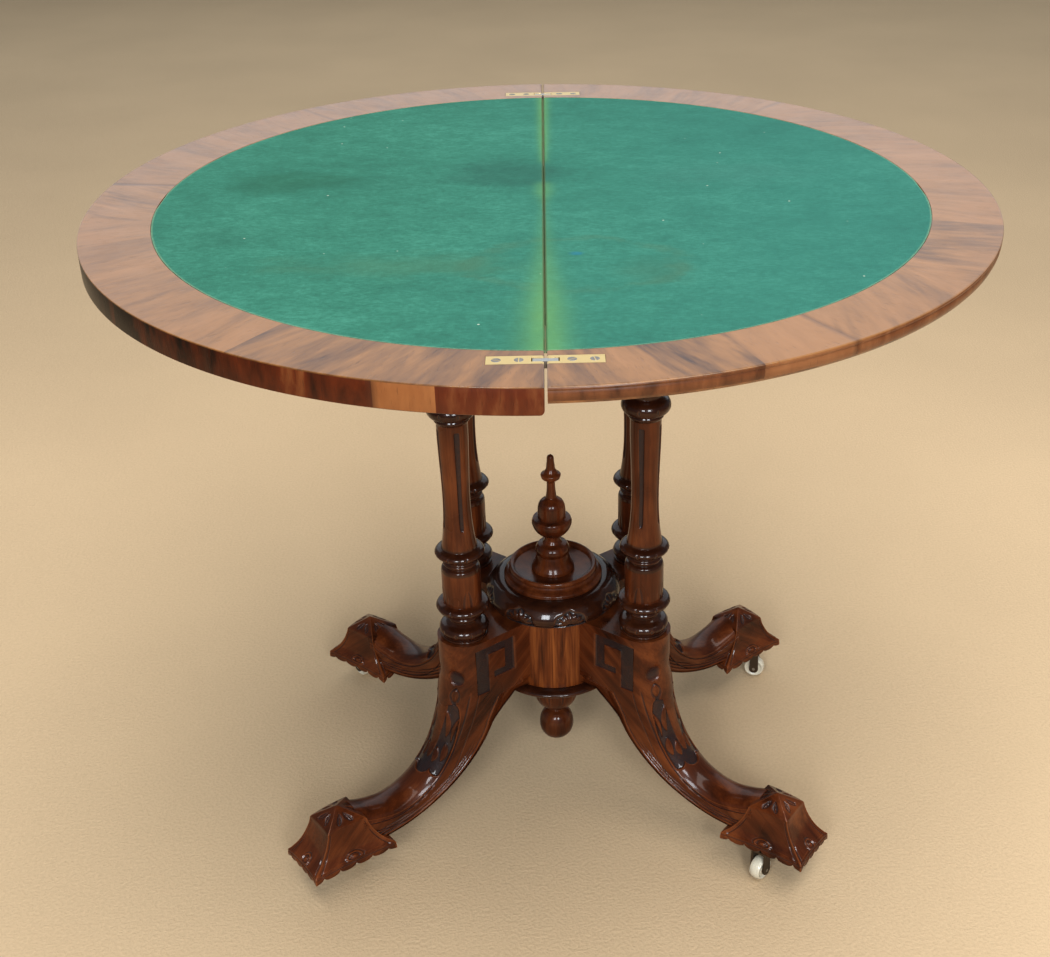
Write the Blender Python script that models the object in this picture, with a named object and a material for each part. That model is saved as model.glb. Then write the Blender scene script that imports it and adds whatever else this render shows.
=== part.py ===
"""A Victorian demi-lune card table standing open, as separate solids.

Metres, +Z up. The origin is on the floor under the centre of the round top. The fold line of
the top lies along Y. The lower leaf is on the -X side and the upper leaf on the +X side.
"""

from math import acos, atan2, cos, hypot, pi, radians, sin, sqrt

import bmesh
import bpy
from mathutils import Matrix, Vector

# Clearances and cuts
FIT_GAP = 0.0003
OVERRUN = 0.004
MERGE = 0.00001
SMOOTH_ANGLE = radians(40)

# The round top
TABLE_HEIGHT = 0.738
TOP_RADIUS = 0.450
LEAF_THICKNESS = 0.016
LOWER_EDGE_DEPTH = 0.0235
LOWER_RIM_WIDTH = 0.022
FOLD_GAP = 0.0024
CLOSED_GAP = 0.0004
TOP_STEPS = 72

# The moulded edge of the upper leaf
EDGE_ARRIS = 0.0015
EDGE_UNDERCUT = 0.0045
EDGE_STEPS = 4

# The wooden border and the green baize let in inside it
BORDER_WIDTH = 0.067
BAIZE_THICKNESS = 0.001

# The card table hinges: two brass plates, a steel link and two pins each
HINGE_SETBACK = 0.017
HINGE_PLATE_LENGTH = 0.046
HINGE_PLATE_WIDTH = 0.015
HINGE_PLATE_THICKNESS = 0.002
HINGE_CHEEK_LENGTH = 0.012
HINGE_CHEEK_DEPTH = 0.007
HINGE_PIN_INSET = 0.0035
HINGE_PIN_RADIUS = 0.0011
HINGE_LINK_WIDTH = 0.006
HINGE_LINK_HEIGHT = 0.006
HINGE_LINK_TAIL = 0.0065
HINGE_ROLL_CLEARANCE = 0.0001
FOLD_ARC_STEPS = 3
PIN_STEPS = 12

# The sub-frame under the leaves
RAIL_THICKNESS = 0.020
RAIL_HEIGHT = 0.050
PLATFORM_THICKNESS = 0.012

# The swivel, off centre, and the block that it turns in
PIVOT_BLOCK_LENGTH = 0.060
PIVOT_END_SPACE = 0.0295
PIVOT_RAIL_SPACE = 0.0015
PIVOT_COLUMN_SPACE = 0.0018
PIVOT_PLATE_RADIUS = 0.016
PIVOT_PLATE_THICKNESS = 0.003
PIVOT_BOLT_RADIUS = 0.005
PIVOT_BOLT_END = 0.004
PIVOT_WASHER_RADIUS = 0.0105
PIVOT_WASHER_THICKNESS = 0.002
PIVOT_NUT_RADIUS = 0.0095
PIVOT_NUT_HEIGHT = 0.008
PIVOT_STEPS = 24
NUT_SIDES = 6
STOP_SIDE = 0.020
STOP_HEIGHT = 0.014

# The four legs, each one piece from its block to its foot
LEG_ANGLE = radians(36.8)
BLOCK_TOP = 0.2585
BLOCK_RADIUS = 0.0305
COLUMN_REACH = 0.1255
FOOT_REACH = 0.3058
LEG_FOOT_HALF_WIDTH = 0.024
LEG_CROWN = 0.016
LEG_CROWN_STEPS = 8
# Each rib of the block: outer height share of the block's top, inner height share of the drum's foot
LEG_BLOCK_SHARES = ((0.900, 1.28), (0.815, 1.00))
# Each rib below: outer reach and height shares, inner reach and height shares, slimness share
LEG_RIB_SHARES = (
    (0.027, 0.740, 0.000, 1.000, 0.10),
    (0.050, 0.658, 0.121, 0.849, 0.30),
    (0.087, 0.580, 0.191, 0.704, 0.50),
    (0.150, 0.491, 0.271, 0.583, 0.65),
    (0.260, 0.402, 0.394, 0.456, 0.75),
    (0.414, 0.340, 0.539, 0.361, 0.85),
    (0.587, 0.317, 0.675, 0.308, 0.95),
    (0.748, 0.337, 0.807, 0.290, 1.00),
    (0.881, 0.368, 0.908, 0.290, 1.00),
)

# The hooded foot under each leg
FOOT_LENGTH = 0.101
FOOT_OUTER_WIDTH = 0.064
FOOT_INNER_WIDTH = 0.072
FOOT_BOTTOM = 0.0385
FOOT_HEIGHT = 0.0665
FOOT_LIP_THICKNESS = 0.004
FOOT_RECESS_DEPTH = 0.0045
# Each level: length share, width share, corner height share, middle height share
FOOT_LEVEL_SHARES = (
    (1.00, 1.00, 0.00, 0.05),
    (1.00, 1.00, 0.09, 0.13),
    (0.95, 0.94, 0.16, 0.19),
    (0.76, 0.80, 0.30, 0.30),
    (0.58, 0.70, 0.54, 0.54),
    (0.49, 0.66, 0.76, 0.80),
)

# The four turned columns
COLUMN_RING_RADIUS = 0.0296
COLUMN_BASE_HEIGHT = 0.118
COLUMN_CAP_HEIGHT = 0.136
COLUMN_STEPS = 12
# Pairs of radius share and height share, from the top down
COLUMN_CAP_SHARES = (
    (0.845, 1.000), (0.845, 0.963), (0.574, 0.926), (0.574, 0.875), (0.794, 0.838),
    (0.794, 0.787), (0.557, 0.750), (0.690, 0.676), (0.710, 0.324), (0.557, 0.250),
    (0.557, 0.191), (0.810, 0.158), (0.885, 0.114), (0.810, 0.070), (0.610, 0.051),
    (0.650, 0.029), (0.557, 0.000),
)
COLUMN_BASE_SHARES = (
    (0.635, 1.000), (0.660, 0.964), (0.920, 0.925), (0.920, 0.904), (0.640, 0.858),
    (0.575, 0.824), (0.650, 0.800), (0.580, 0.773), (0.726, 0.730), (0.726, 0.375),
    (1.000, 0.341), (1.000, 0.322), (0.912, 0.286), (0.625, 0.252), (0.540, 0.230),
    (0.595, 0.200), (0.540, 0.171), (0.660, 0.146), (0.870, 0.119), (0.936, 0.082),
    (0.878, 0.044), (0.828, 0.025), (0.895, 0.019), (0.895, 0.000),
)

# The centre of the base: drum, mouldings, finial and drop
DRUM_RADIUS = 0.066
DRUM_HEIGHT = 0.0895
DRUM_STEPS = 36
CARVED_RING_RADIUS = 0.078
CARVED_RING_HEIGHT = 0.0259
CARVED_RING_SHARES = (
    (0.747, 1.000), (0.860, 0.935), (0.955, 0.665), (1.000, 0.355), (0.981, 0.143),
    (0.937, 0.066), (0.955, 0.046), (0.955, 0.000),
)
LID_RADIUS = 0.0566
LID_HEIGHT = 0.0165
LID_SHARES = (
    (0.777, 0.545), (0.822, 0.970), (0.866, 1.000), (0.887, 0.879), (0.887, 0.697),
    (0.848, 0.576), (0.919, 0.394), (1.000, 0.273), (1.000, 0.000),
)
FINIAL_RADIUS = 0.0248
FINIAL_HEIGHT = 0.1472
FINIAL_SHARES = (
    (0.13, 1.000), (0.21, 0.878), (0.30, 0.850), (0.456, 0.830), (0.42, 0.800), (0.222, 0.776),
    (0.187, 0.762), (0.246, 0.630), (0.42, 0.610), (0.596, 0.570), (0.637, 0.528), (0.637, 0.457),
    (0.865, 0.450), (0.919, 0.425), (0.865, 0.378), (0.608, 0.320), (0.362, 0.293), (0.35, 0.260),
    (0.444, 0.232), (0.666, 0.219), (0.766, 0.192), (0.766, 0.151), (0.713, 0.137), (0.75, 0.120),
    (0.86, 0.059), (1.00, 0.000),
)
BASE_RING_RADIUS = 0.0775
BASE_RING_HEIGHT = 0.0087
BASE_RING_MARGIN = 0.001
BASE_RING_SHARES = (
    (0.930, 1.000), (0.974, 0.805), (1.000, 0.517), (0.980, 0.230), (0.903, 0.000),
)
DROP_RADIUS = 0.043
DROP_HEIGHT = 0.111
DROP_SHARES = (
    (1.00, 1.000), (0.93, 0.960), (0.37, 0.863), (0.37, 0.801), (0.546, 0.766), (0.628, 0.679),
    (0.612, 0.591), (0.512, 0.495), (0.326, 0.425), (0.20, 0.394), (0.20, 0.377), (0.35, 0.341),
    (0.45, 0.271), (0.48, 0.190), (0.45, 0.110), (0.35, 0.048), (0.186, 0.011), (0.00, 0.000),
)
CENTRE_STEPS = 16

# The ceramic castors
CASTOR_PLATE_RADIUS = 0.018
CASTOR_PLATE_THICKNESS = 0.003
CASTOR_STEM_RADIUS = 0.003
CASTOR_HEAD_RADIUS = 0.0055
CASTOR_HEAD_THICKNESS = 0.002
CASTOR_OFFSET = 0.026
FORK_THICKNESS = 0.0034
FORK_DISC_RADIUS = 0.012
FORK_ARM_THICKNESS = 0.0025
FORK_ARM_WIDTH = 0.010
FORK_EYE_RADIUS = 0.006
WHEEL_RADIUS = 0.0138
WHEEL_WIDTH = 0.013
WHEEL_ROUNDING = 0.003
WHEEL_SIDE_GAP = 0.0006
AXLE_RADIUS = 0.002
CASTOR_STEPS = 16
# The way each castor trails, as a compass angle from +X
CASTOR_HEADINGS = {
    "front_left": radians(62),
    "front_right": radians(227),
    "back_left": radians(135),
    "back_right": radians(-14),
}

# Colour, roughness and metallic value of each finish
DARK_WALNUT = ((0.085, 0.026, 0.012, 1.0), 0.28, 0.0)
LIGHT_WALNUT = ((0.33, 0.15, 0.06, 1.0), 0.32, 0.0)
FIGURED_WALNUT = ((0.24, 0.085, 0.027, 1.0), 0.30, 0.0)
PINE = ((0.42, 0.27, 0.14, 1.0), 0.70, 0.0)
GREEN_BAIZE = ((0.05, 0.26, 0.17, 1.0), 0.95, 0.0)
BRASS = ((0.72, 0.52, 0.22, 1.0), 0.30, 1.0)
STEEL = ((0.55, 0.55, 0.56, 1.0), 0.35, 1.0)
IRON = ((0.10, 0.085, 0.075, 1.0), 0.50, 1.0)
CERAMIC = ((0.85, 0.84, 0.78, 1.0), 0.18, 0.0)

# Values that follow from the sizes above
FOLD_EDGE = FOLD_GAP / 2
HINGE_PIN_DEPTH = HINGE_PIN_INSET - CLOSED_GAP / 2
ROLL_RADIUS = HINGE_PIN_INSET - HINGE_ROLL_CLEARANCE
ROLL_START = HINGE_PIN_INSET - sqrt(ROLL_RADIUS**2 - HINGE_PIN_DEPTH**2)
ROLL_END_DEPTH = HINGE_PIN_DEPTH - sqrt(ROLL_RADIUS**2 - (HINGE_PIN_INSET - FOLD_EDGE) ** 2)
LINK_SWEEP = hypot(HINGE_LINK_TAIL, HINGE_LINK_HEIGHT / 2)
BAIZE_RADIUS = TOP_RADIUS - BORDER_WIDTH
HINGE_PLACE = BAIZE_RADIUS + HINGE_SETBACK
HINGE_SIDES = {"front": -HINGE_PLACE, "back": HINGE_PLACE}
LEAF_UNDERSIDE = TABLE_HEIGHT - LEAF_THICKNESS
FRAME_TOP = LEAF_UNDERSIDE - FIT_GAP
PLATFORM_TOP = FRAME_TOP - RAIL_HEIGHT - FIT_GAP
PLATFORM_UNDERSIDE = PLATFORM_TOP - PLATFORM_THICKNESS
# The bolt stands just clear behind a column. A quarter turn about it sets the folded top over the base
COLUMN_CAP_RADIUS = COLUMN_CAP_SHARES[0][0] * COLUMN_RING_RADIUS
PIVOT_RUN = COLUMN_REACH * sin(LEG_ANGLE) + COLUMN_CAP_RADIUS + PIVOT_WASHER_RADIUS + PIVOT_COLUMN_SPACE
PIVOT = Vector((-PIVOT_RUN, PIVOT_RUN, 0))
CLOSED_SETBACK = 2 * PIVOT_RUN
WELL_HALF_LENGTH = PIVOT.y + PIVOT_BLOCK_LENGTH / 2 + PIVOT_END_SPACE
WELL_HALF_DEPTH = PIVOT.y + PIVOT_PLATE_RADIUS + PIVOT_RAIL_SPACE
FRAME_HALF_LENGTH = WELL_HALF_LENGTH + RAIL_THICKNESS
FRAME_HALF_DEPTH = WELL_HALF_DEPTH + RAIL_THICKNESS
PIVOT_BORE = PIVOT_BOLT_RADIUS + FIT_GAP
CORNERS = {
    "front_left": pi + LEG_ANGLE,
    "front_right": -LEG_ANGLE,
    "back_left": pi - LEG_ANGLE,
    "back_right": LEG_ANGLE,
}
BLOCK_END = COLUMN_REACH + BLOCK_RADIUS
DRUM_BOTTOM = BLOCK_TOP - DRUM_HEIGHT
HEEL_EDGE = BASE_RING_RADIUS + BASE_RING_MARGIN
DRUM_CUT_RADIUS = (DRUM_RADIUS + FIT_GAP) / cos(pi / DRUM_STEPS)
CARVED_RING_BOTTOM = BLOCK_TOP + FIT_GAP
LID_BOTTOM = CARVED_RING_BOTTOM + CARVED_RING_HEIGHT + FIT_GAP
FINIAL_BOTTOM = LID_BOTTOM + LID_SHARES[0][1] * LID_HEIGHT + FIT_GAP
BASE_RING_BOTTOM = DRUM_BOTTOM - FIT_GAP - BASE_RING_HEIGHT
DROP_BOTTOM = BASE_RING_BOTTOM - FIT_GAP - DROP_HEIGHT
CASTOR_PLATE_TOP = FOOT_BOTTOM + FOOT_RECESS_DEPTH - FIT_GAP
FORK_TOP = CASTOR_PLATE_TOP - CASTOR_PLATE_THICKNESS - FIT_GAP
FORK_BOTTOM = FORK_TOP - FORK_THICKNESS
AXLE_SPAN = WHEEL_WIDTH / 2 + WHEEL_SIDE_GAP + FORK_ARM_THICKNESS


def clear_scene():
    for obj in list(bpy.data.objects):
        bpy.data.objects.remove(obj, do_unlink=True)


def principled(name, finish):
    colour, roughness, metallic = finish
    material = bpy.data.materials.new(name)
    material.use_nodes = True
    shader = material.node_tree.nodes["Principled BSDF"]
    shader.inputs["Base Color"].default_value = colour
    shader.inputs["Roughness"].default_value = roughness
    shader.inputs["Metallic"].default_value = metallic
    return material


def place(name, mesh, finish=None):
    """A new object with a mesh of its own material. Without a finish it is a helper that isn't rendered."""
    obj = bpy.data.objects.new(name, mesh)
    bpy.context.scene.collection.objects.link(obj)
    if finish is None:
        obj.hide_render = True
        obj.display_type = "WIRE"
    elif not mesh.materials:
        mesh.materials.append(principled(name, finish))
    else:
        obj.material_slots[0].link = "OBJECT"
        obj.material_slots[0].material = principled(name, finish)
    return obj


def finish_mesh(name, bm):
    bmesh.ops.recalc_face_normals(bm, faces=bm.faces)
    mesh = bpy.data.meshes.new(name)
    bm.to_mesh(mesh)
    bm.free()
    return mesh


def prism(name, outline, extrusion, finish=None):
    """A closed outline of points, extruded by a vector."""
    bm = bmesh.new()
    face = bm.faces.new([bm.verts.new(point) for point in outline])
    pushed = bmesh.ops.extrude_face_region(bm, geom=[face])["geom"]
    moved = [item for item in pushed if isinstance(item, bmesh.types.BMVert)]
    bmesh.ops.translate(bm, vec=extrusion, verts=moved)
    return place(name, finish_mesh(name, bm), finish)


def block(name, low, high, finish=None):
    """A rectangular piece between two opposite corners."""
    outline = [(low[0], low[1], low[2]), (high[0], low[1], low[2])]
    outline += [(high[0], high[1], low[2]), (low[0], high[1], low[2])]
    return prism(name, outline, (0, 0, high[2] - low[2]), finish)


def turned(name, profile, steps, finish=None, closed=False):
    """A piece turned about Z from (radius, height) points that run down its outer side."""
    bm = bmesh.new()
    verts = [bm.verts.new((radius, 0, height)) for radius, height in profile]
    for upper, lower in zip(verts, verts[1:]):
        bm.edges.new((upper, lower))
    if closed:
        bm.edges.new((verts[-1], verts[0]))
    mesh = bpy.data.meshes.new(name)
    bm.to_mesh(mesh)
    bm.free()
    obj = place(name, mesh, finish)
    screw = obj.modifiers.new("Turning", "SCREW")
    screw.steps = steps
    screw.render_steps = steps
    screw.use_merge_vertices = True
    screw.merge_threshold = MERGE
    screw.use_smooth_shade = True
    return obj


def turned_solid(name, shares, radius, height, bottom, steps, finish):
    """A turning with a closed top and bottom, its outline given in shares of its radius and height."""
    profile = [(share * radius, bottom + up * height) for share, up in shares]
    if profile[0][0] > 0:
        profile.insert(0, (0, profile[0][1]))
    if profile[-1][0] > 0:
        profile.append((0, profile[-1][1]))
    return turned(name, profile, steps, finish)


def cylinder(name, radius, low, high, steps, finish=None):
    return turned(name, [(0, high), (radius, high), (radius, low), (0, low)], steps, finish)


def ring(name, bore, radius, low, high, steps, finish=None):
    return turned(name, [(bore, high), (radius, high), (radius, low), (bore, low)], steps, finish, closed=True)


def lay_along_y(obj, x, y, z):
    """Lays a turning on its side with its axis along Y."""
    obj.location = (x, y, z)
    obj.rotation_euler = (pi / 2, 0, 0)
    return obj


def combine(target, operand, operation="DIFFERENCE"):
    modifier = target.modifiers.new(operation.title(), "BOOLEAN")
    modifier.operation = operation
    modifier.solver = "EXACT"
    modifier.object = operand
    return target


def baked(obj):
    """The mesh of an object with its modifiers applied."""
    graph = bpy.context.evaluated_depsgraph_get()
    mesh = bpy.data.meshes.new_from_object(obj.evaluated_get(graph))
    mesh.shade_smooth()
    mesh.set_sharp_from_angle(angle=SMOOTH_ANGLE)
    return mesh


def axis_empty(name, location, parent=None):
    """An empty on a joint's axis, for the pieces that move with it."""
    empty = bpy.data.objects.new(name, None)
    bpy.context.scene.collection.objects.link(empty)
    empty.location = location
    hang_on(empty, parent)
    return empty


def hang_on(obj, parent):
    """Parents an object and leaves it where it is."""
    if parent is not None:
        bpy.context.view_layer.update()
        obj.parent = parent
        obj.matrix_parent_inverse = parent.matrix_world.inverted()


def roll_points():
    """The rounded fold arris in section, as inset and depth, on a circle round the hinge pin."""
    start = atan2(HINGE_PIN_DEPTH, HINGE_PIN_INSET - ROLL_START)
    end = acos((HINGE_PIN_INSET - FOLD_EDGE) / ROLL_RADIUS)
    angles = [start + (end - start) * step / FOLD_ARC_STEPS for step in range(FOLD_ARC_STEPS + 1)]
    return [
        (HINGE_PIN_INSET - ROLL_RADIUS * cos(angle), HINGE_PIN_DEPTH - ROLL_RADIUS * sin(angle))
        for angle in angles
    ]


def section(side, points, y):
    """Points of inset from the fold line and depth under the top, on the leaf of that side."""
    return [(side * inset, y, TABLE_HEIGHT - depth) for inset, depth in points]


def fold_cutter(side):
    """Rounds the fold arris of a leaf so that it rolls clear as the leaf turns."""
    points = [(ROLL_START, -OVERRUN)] + roll_points() + [(-OVERRUN, ROLL_END_DEPTH), (-OVERRUN, -OVERRUN)]
    reach = TOP_RADIUS + OVERRUN
    return prism(f"fold_cutter_{side}", section(side, points, -reach), (0, 2 * reach, 0))


def half_cutter(name, side, edge):
    """Takes away what lies on the other leaf's side of an edge line."""
    reach = TOP_RADIUS + OVERRUN
    low_x, high_x = sorted((side * edge, -side * reach))
    depth = LOWER_EDGE_DEPTH + OVERRUN
    return block(name, (low_x, -reach, TABLE_HEIGHT - depth), (high_x, reach, TABLE_HEIGHT + OVERRUN))


def hinge_pocket(name, side, y):
    """The seat of a hinge plate and its cheeks in a leaf."""
    length = HINGE_PLATE_LENGTH + FIT_GAP
    cheek = HINGE_CHEEK_LENGTH + FIT_GAP
    thickness = HINGE_PLATE_THICKNESS + FIT_GAP
    depth = HINGE_CHEEK_DEPTH + FIT_GAP
    points = [(-OVERRUN, -OVERRUN), (length, -OVERRUN), (length, thickness), (cheek, thickness)]
    points += [(cheek, depth), (-OVERRUN, depth)]
    half = HINGE_PLATE_WIDTH / 2 + FIT_GAP
    return prism(name, section(side, points, y - half), (0, 2 * half, 0))


def link_pocket(name, side, y):
    """The slot that the link and its tail swing in."""
    inset = HINGE_PIN_INSET + LINK_SWEEP + FIT_GAP
    depth = HINGE_PIN_DEPTH + LINK_SWEEP + FIT_GAP
    points = [(-OVERRUN, -OVERRUN), (inset, -OVERRUN), (inset, depth), (-OVERRUN, depth)]
    half = HINGE_LINK_WIDTH / 2 + FIT_GAP
    return prism(name, section(side, points, y - half), (0, 2 * half, 0))


def pin_bore(name, side, y):
    half = HINGE_PLATE_WIDTH / 2 + OVERRUN
    bore = cylinder(name, HINGE_PIN_RADIUS + FIT_GAP, -half, half, PIN_STEPS)
    return lay_along_y(bore, side * HINGE_PIN_INSET, y, TABLE_HEIGHT - HINGE_PIN_DEPTH)


def leaf_board(name, side, profile, baize_seat):
    """Half of the round top, with its hinge seats and the shallow bed for the baize."""
    board = turned(name, profile, TOP_STEPS, FIGURED_WALNUT)
    combine(board, half_cutter(f"{name}_half", side, FOLD_EDGE))
    combine(board, baize_seat)
    combine(board, fold_cutter(side))
    for place_name, y in HINGE_SIDES.items():
        combine(board, hinge_pocket(f"{name}_{place_name}_pocket", side, y))
        combine(board, link_pocket(f"{name}_{place_name}_slot", side, y))
    return board


def baize_half(name, side):
    low = TABLE_HEIGHT - BAIZE_THICKNESS
    baize = cylinder(name, BAIZE_RADIUS, low, TABLE_HEIGHT, TOP_STEPS, GREEN_BAIZE)
    return combine(baize, half_cutter(f"{name}_half", side, ROLL_START))


def lower_leaf(swivel):
    """The fixed leaf: a board, the deep lip glued under its round edge, and its baize."""
    profile = [(0, TABLE_HEIGHT), (TOP_RADIUS, TABLE_HEIGHT), (TOP_RADIUS, LEAF_UNDERSIDE), (0, LEAF_UNDERSIDE)]
    seat_low = TABLE_HEIGHT - BAIZE_THICKNESS - FIT_GAP
    seat = cylinder("baize_seat", BAIZE_RADIUS + FIT_GAP, seat_low, TABLE_HEIGHT + OVERRUN, TOP_STEPS)
    board = leaf_board("lower_leaf_board", -1, profile, seat)
    rim_low = TABLE_HEIGHT - LOWER_EDGE_DEPTH
    bore = TOP_RADIUS - LOWER_RIM_WIDTH
    rim = ring("lower_leaf_rim", bore, TOP_RADIUS, rim_low, LEAF_UNDERSIDE - FIT_GAP, TOP_STEPS, FIGURED_WALNUT)
    combine(rim, half_cutter("lower_leaf_rim_half", -1, FOLD_EDGE))
    for piece in (board, rim, baize_half("lower_leaf_baize", -1)):
        hang_on(piece, swivel)
    return seat


def upper_leaf(leaf_axis, seat):
    """The leaf that folds over, thinner and moulded round its edge."""
    profile = [(0, TABLE_HEIGHT), (TOP_RADIUS - EDGE_ARRIS, TABLE_HEIGHT)]
    fall = LEAF_THICKNESS - EDGE_ARRIS
    for step in range(EDGE_STEPS + 1):
        angle = pi / 2 * step / EDGE_STEPS
        radius = TOP_RADIUS - EDGE_UNDERCUT * (1 - cos(angle))
        profile.append((radius, TABLE_HEIGHT - EDGE_ARRIS - fall * sin(angle)))
    profile.append((0, LEAF_UNDERSIDE))
    board = leaf_board("upper_leaf_board", 1, profile, seat)
    for piece in (board, baize_half("upper_leaf_baize", 1)):
        hang_on(piece, leaf_axis)


def hinge_plate(name, side, y, parent):
    """A brass plate let in flush, with two cheeks below that hold the pin."""
    points = roll_points() + [(FOLD_EDGE, HINGE_CHEEK_DEPTH), (HINGE_CHEEK_LENGTH, HINGE_CHEEK_DEPTH)]
    points += [(HINGE_CHEEK_LENGTH, HINGE_PLATE_THICKNESS), (HINGE_PLATE_LENGTH, HINGE_PLATE_THICKNESS)]
    points += [(HINGE_PLATE_LENGTH, 0)]
    half = HINGE_PLATE_WIDTH / 2
    plate = prism(name, section(side, points, y - half), (0, HINGE_PLATE_WIDTH, 0), BRASS)
    combine(plate, link_pocket(f"{name}_slot", side, y))
    combine(plate, pin_bore(f"{name}_bore", side, y))
    hang_on(plate, parent)


def hinge(place_name, y, swivel, link_axis, leaf_axis):
    parents = {-1: ("lower", swivel), 1: ("upper", leaf_axis)}
    half_height = HINGE_LINK_HEIGHT / 2
    reach = HINGE_PIN_INSET + HINGE_LINK_TAIL
    top, bottom = HINGE_PIN_DEPTH - half_height, HINGE_PIN_DEPTH + half_height
    outline = section(1, [(-reach, top), (reach, top), (reach, bottom), (-reach, bottom)], y - HINGE_LINK_WIDTH / 2)
    link = prism(f"hinge_{place_name}_link", outline, (0, HINGE_LINK_WIDTH, 0), STEEL)
    for side, (leaf_name, parent) in parents.items():
        name = f"hinge_{place_name}_{leaf_name}"
        hinge_plate(f"{name}_plate", side, y, parent)
        half = HINGE_PLATE_WIDTH / 2
        pin = cylinder(f"{name}_pin", HINGE_PIN_RADIUS, -half, half, PIN_STEPS, STEEL)
        lay_along_y(pin, side * HINGE_PIN_INSET, y, TABLE_HEIGHT - HINGE_PIN_DEPTH)
        hang_on(pin, parent)
        combine(link, pin_bore(f"{name}_link_bore", side, y))
    hang_on(link, link_axis)


def top():
    """Both leaves and their hinges, on the axes that they turn about."""
    swivel = axis_empty("top_swivel", (PIVOT.x, PIVOT.y, LEAF_UNDERSIDE))
    pin_height = TABLE_HEIGHT - HINGE_PIN_DEPTH
    link_axis = axis_empty("link_fold", (-HINGE_PIN_INSET, 0, pin_height), swivel)
    leaf_axis = axis_empty("leaf_fold", (HINGE_PIN_INSET, 0, pin_height), link_axis)
    seat = lower_leaf(swivel)
    upper_leaf(leaf_axis, seat)
    for place_name, y in HINGE_SIDES.items():
        hinge(place_name, y, swivel, link_axis, leaf_axis)
    return swivel


def sub_frame():
    """The four rails and the platform board that close the well under the top."""
    low, high = FRAME_TOP - RAIL_HEIGHT, FRAME_TOP
    half_length, half_depth = FRAME_HALF_LENGTH, FRAME_HALF_DEPTH
    long_rails = {"front": (-half_depth, -WELL_HALF_DEPTH), "back": (WELL_HALF_DEPTH, half_depth)}
    for side, (near, far) in long_rails.items():
        block(f"frame_rail_{side}", (-half_length, near, low), (half_length, far, high), PINE)
    end = WELL_HALF_DEPTH - FIT_GAP
    end_rails = {"left": (-half_length, -WELL_HALF_LENGTH), "right": (WELL_HALF_LENGTH, half_length)}
    for side, (near, far) in end_rails.items():
        block(f"frame_rail_{side}", (near, -end, low), (far, end, high), PINE)
    corner = (half_length, half_depth, PLATFORM_TOP)
    platform = block("frame_platform", (-half_length, -half_depth, PLATFORM_UNDERSIDE), corner, DARK_WALNUT)
    well_bore = pivot_bore("well_bore", PLATFORM_UNDERSIDE - OVERRUN, FRAME_TOP + OVERRUN)
    combine(platform, well_bore)
    return well_bore


def pivot_bore(name, low, high):
    bore = cylinder(name, PIVOT_BORE, low, high, PIVOT_STEPS)
    bore.location = PIVOT
    return bore


def pivot(swivel, well_bore):
    """The bolt that the top turns on, its block in the well, and the nut below the platform."""
    plate_low = FRAME_TOP - PIVOT_PLATE_THICKNESS
    washer_top = PLATFORM_UNDERSIDE - FIT_GAP
    nut_top = washer_top - PIVOT_WASHER_THICKNESS - FIT_GAP
    nut_low = nut_top - PIVOT_NUT_HEIGHT
    bolt_low = nut_low - PIVOT_BOLT_END
    profile = [(0, FRAME_TOP), (PIVOT_PLATE_RADIUS, FRAME_TOP), (PIVOT_PLATE_RADIUS, plate_low)]
    profile += [(PIVOT_BOLT_RADIUS, plate_low), (PIVOT_BOLT_RADIUS, bolt_low), (0, bolt_low)]
    bolt = turned("pivot_bolt", profile, PIVOT_STEPS, IRON)
    washer_low = washer_top - PIVOT_WASHER_THICKNESS
    washer = ring("pivot_washer", PIVOT_BORE, PIVOT_WASHER_RADIUS, washer_low, washer_top, PIVOT_STEPS, IRON)
    nut = cylinder("pivot_nut", PIVOT_NUT_RADIUS, nut_low, nut_top, NUT_SIDES, IRON)
    for piece in (bolt, washer, nut):
        piece.location = PIVOT
        hang_on(piece, swivel)
    combine(nut, pivot_bore("nut_bore", bolt_low, washer_top))
    half_depth = WELL_HALF_DEPTH - PIVOT.y - FIT_GAP
    half = Vector((PIVOT_BLOCK_LENGTH / 2, half_depth, 0))
    low = PIVOT - half + Vector((0, 0, PLATFORM_TOP + FIT_GAP))
    high = PIVOT + half + Vector((0, 0, plate_low - FIT_GAP))
    combine(block("pivot_block", low, high, PINE), well_bore)


def stop(swivel):
    """The block under the lower leaf that meets the front rail when open and the back rail when closed."""
    half = STOP_SIDE / 2
    y = -WELL_HALF_DEPTH + half + CLOSED_GAP
    x = WELL_HALF_DEPTH - half - CLOSED_GAP - CLOSED_SETBACK
    low = (x - half, y - half, FRAME_TOP - STOP_HEIGHT)
    hang_on(block("stop_block", low, (x + half, y + half, FRAME_TOP), PINE), swivel)


def column_profile():
    """The turned outline of a column, from the platform down to its leg block."""
    high = PLATFORM_UNDERSIDE - FIT_GAP
    low = BLOCK_TOP + FIT_GAP
    cap = [(r * COLUMN_RING_RADIUS, high - (1 - up) * COLUMN_CAP_HEIGHT) for r, up in COLUMN_CAP_SHARES]
    base = [(r * COLUMN_RING_RADIUS, low + up * COLUMN_BASE_HEIGHT) for r, up in COLUMN_BASE_SHARES]
    return [(0, high)] + cap + base + [(0, low)]


def columns():
    profile = column_profile()
    for corner, angle in CORNERS.items():
        column = turned(f"column_{corner}", profile, COLUMN_STEPS, DARK_WALNUT)
        column.location = (COLUMN_REACH * cos(angle), COLUMN_REACH * sin(angle), 0)


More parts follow.
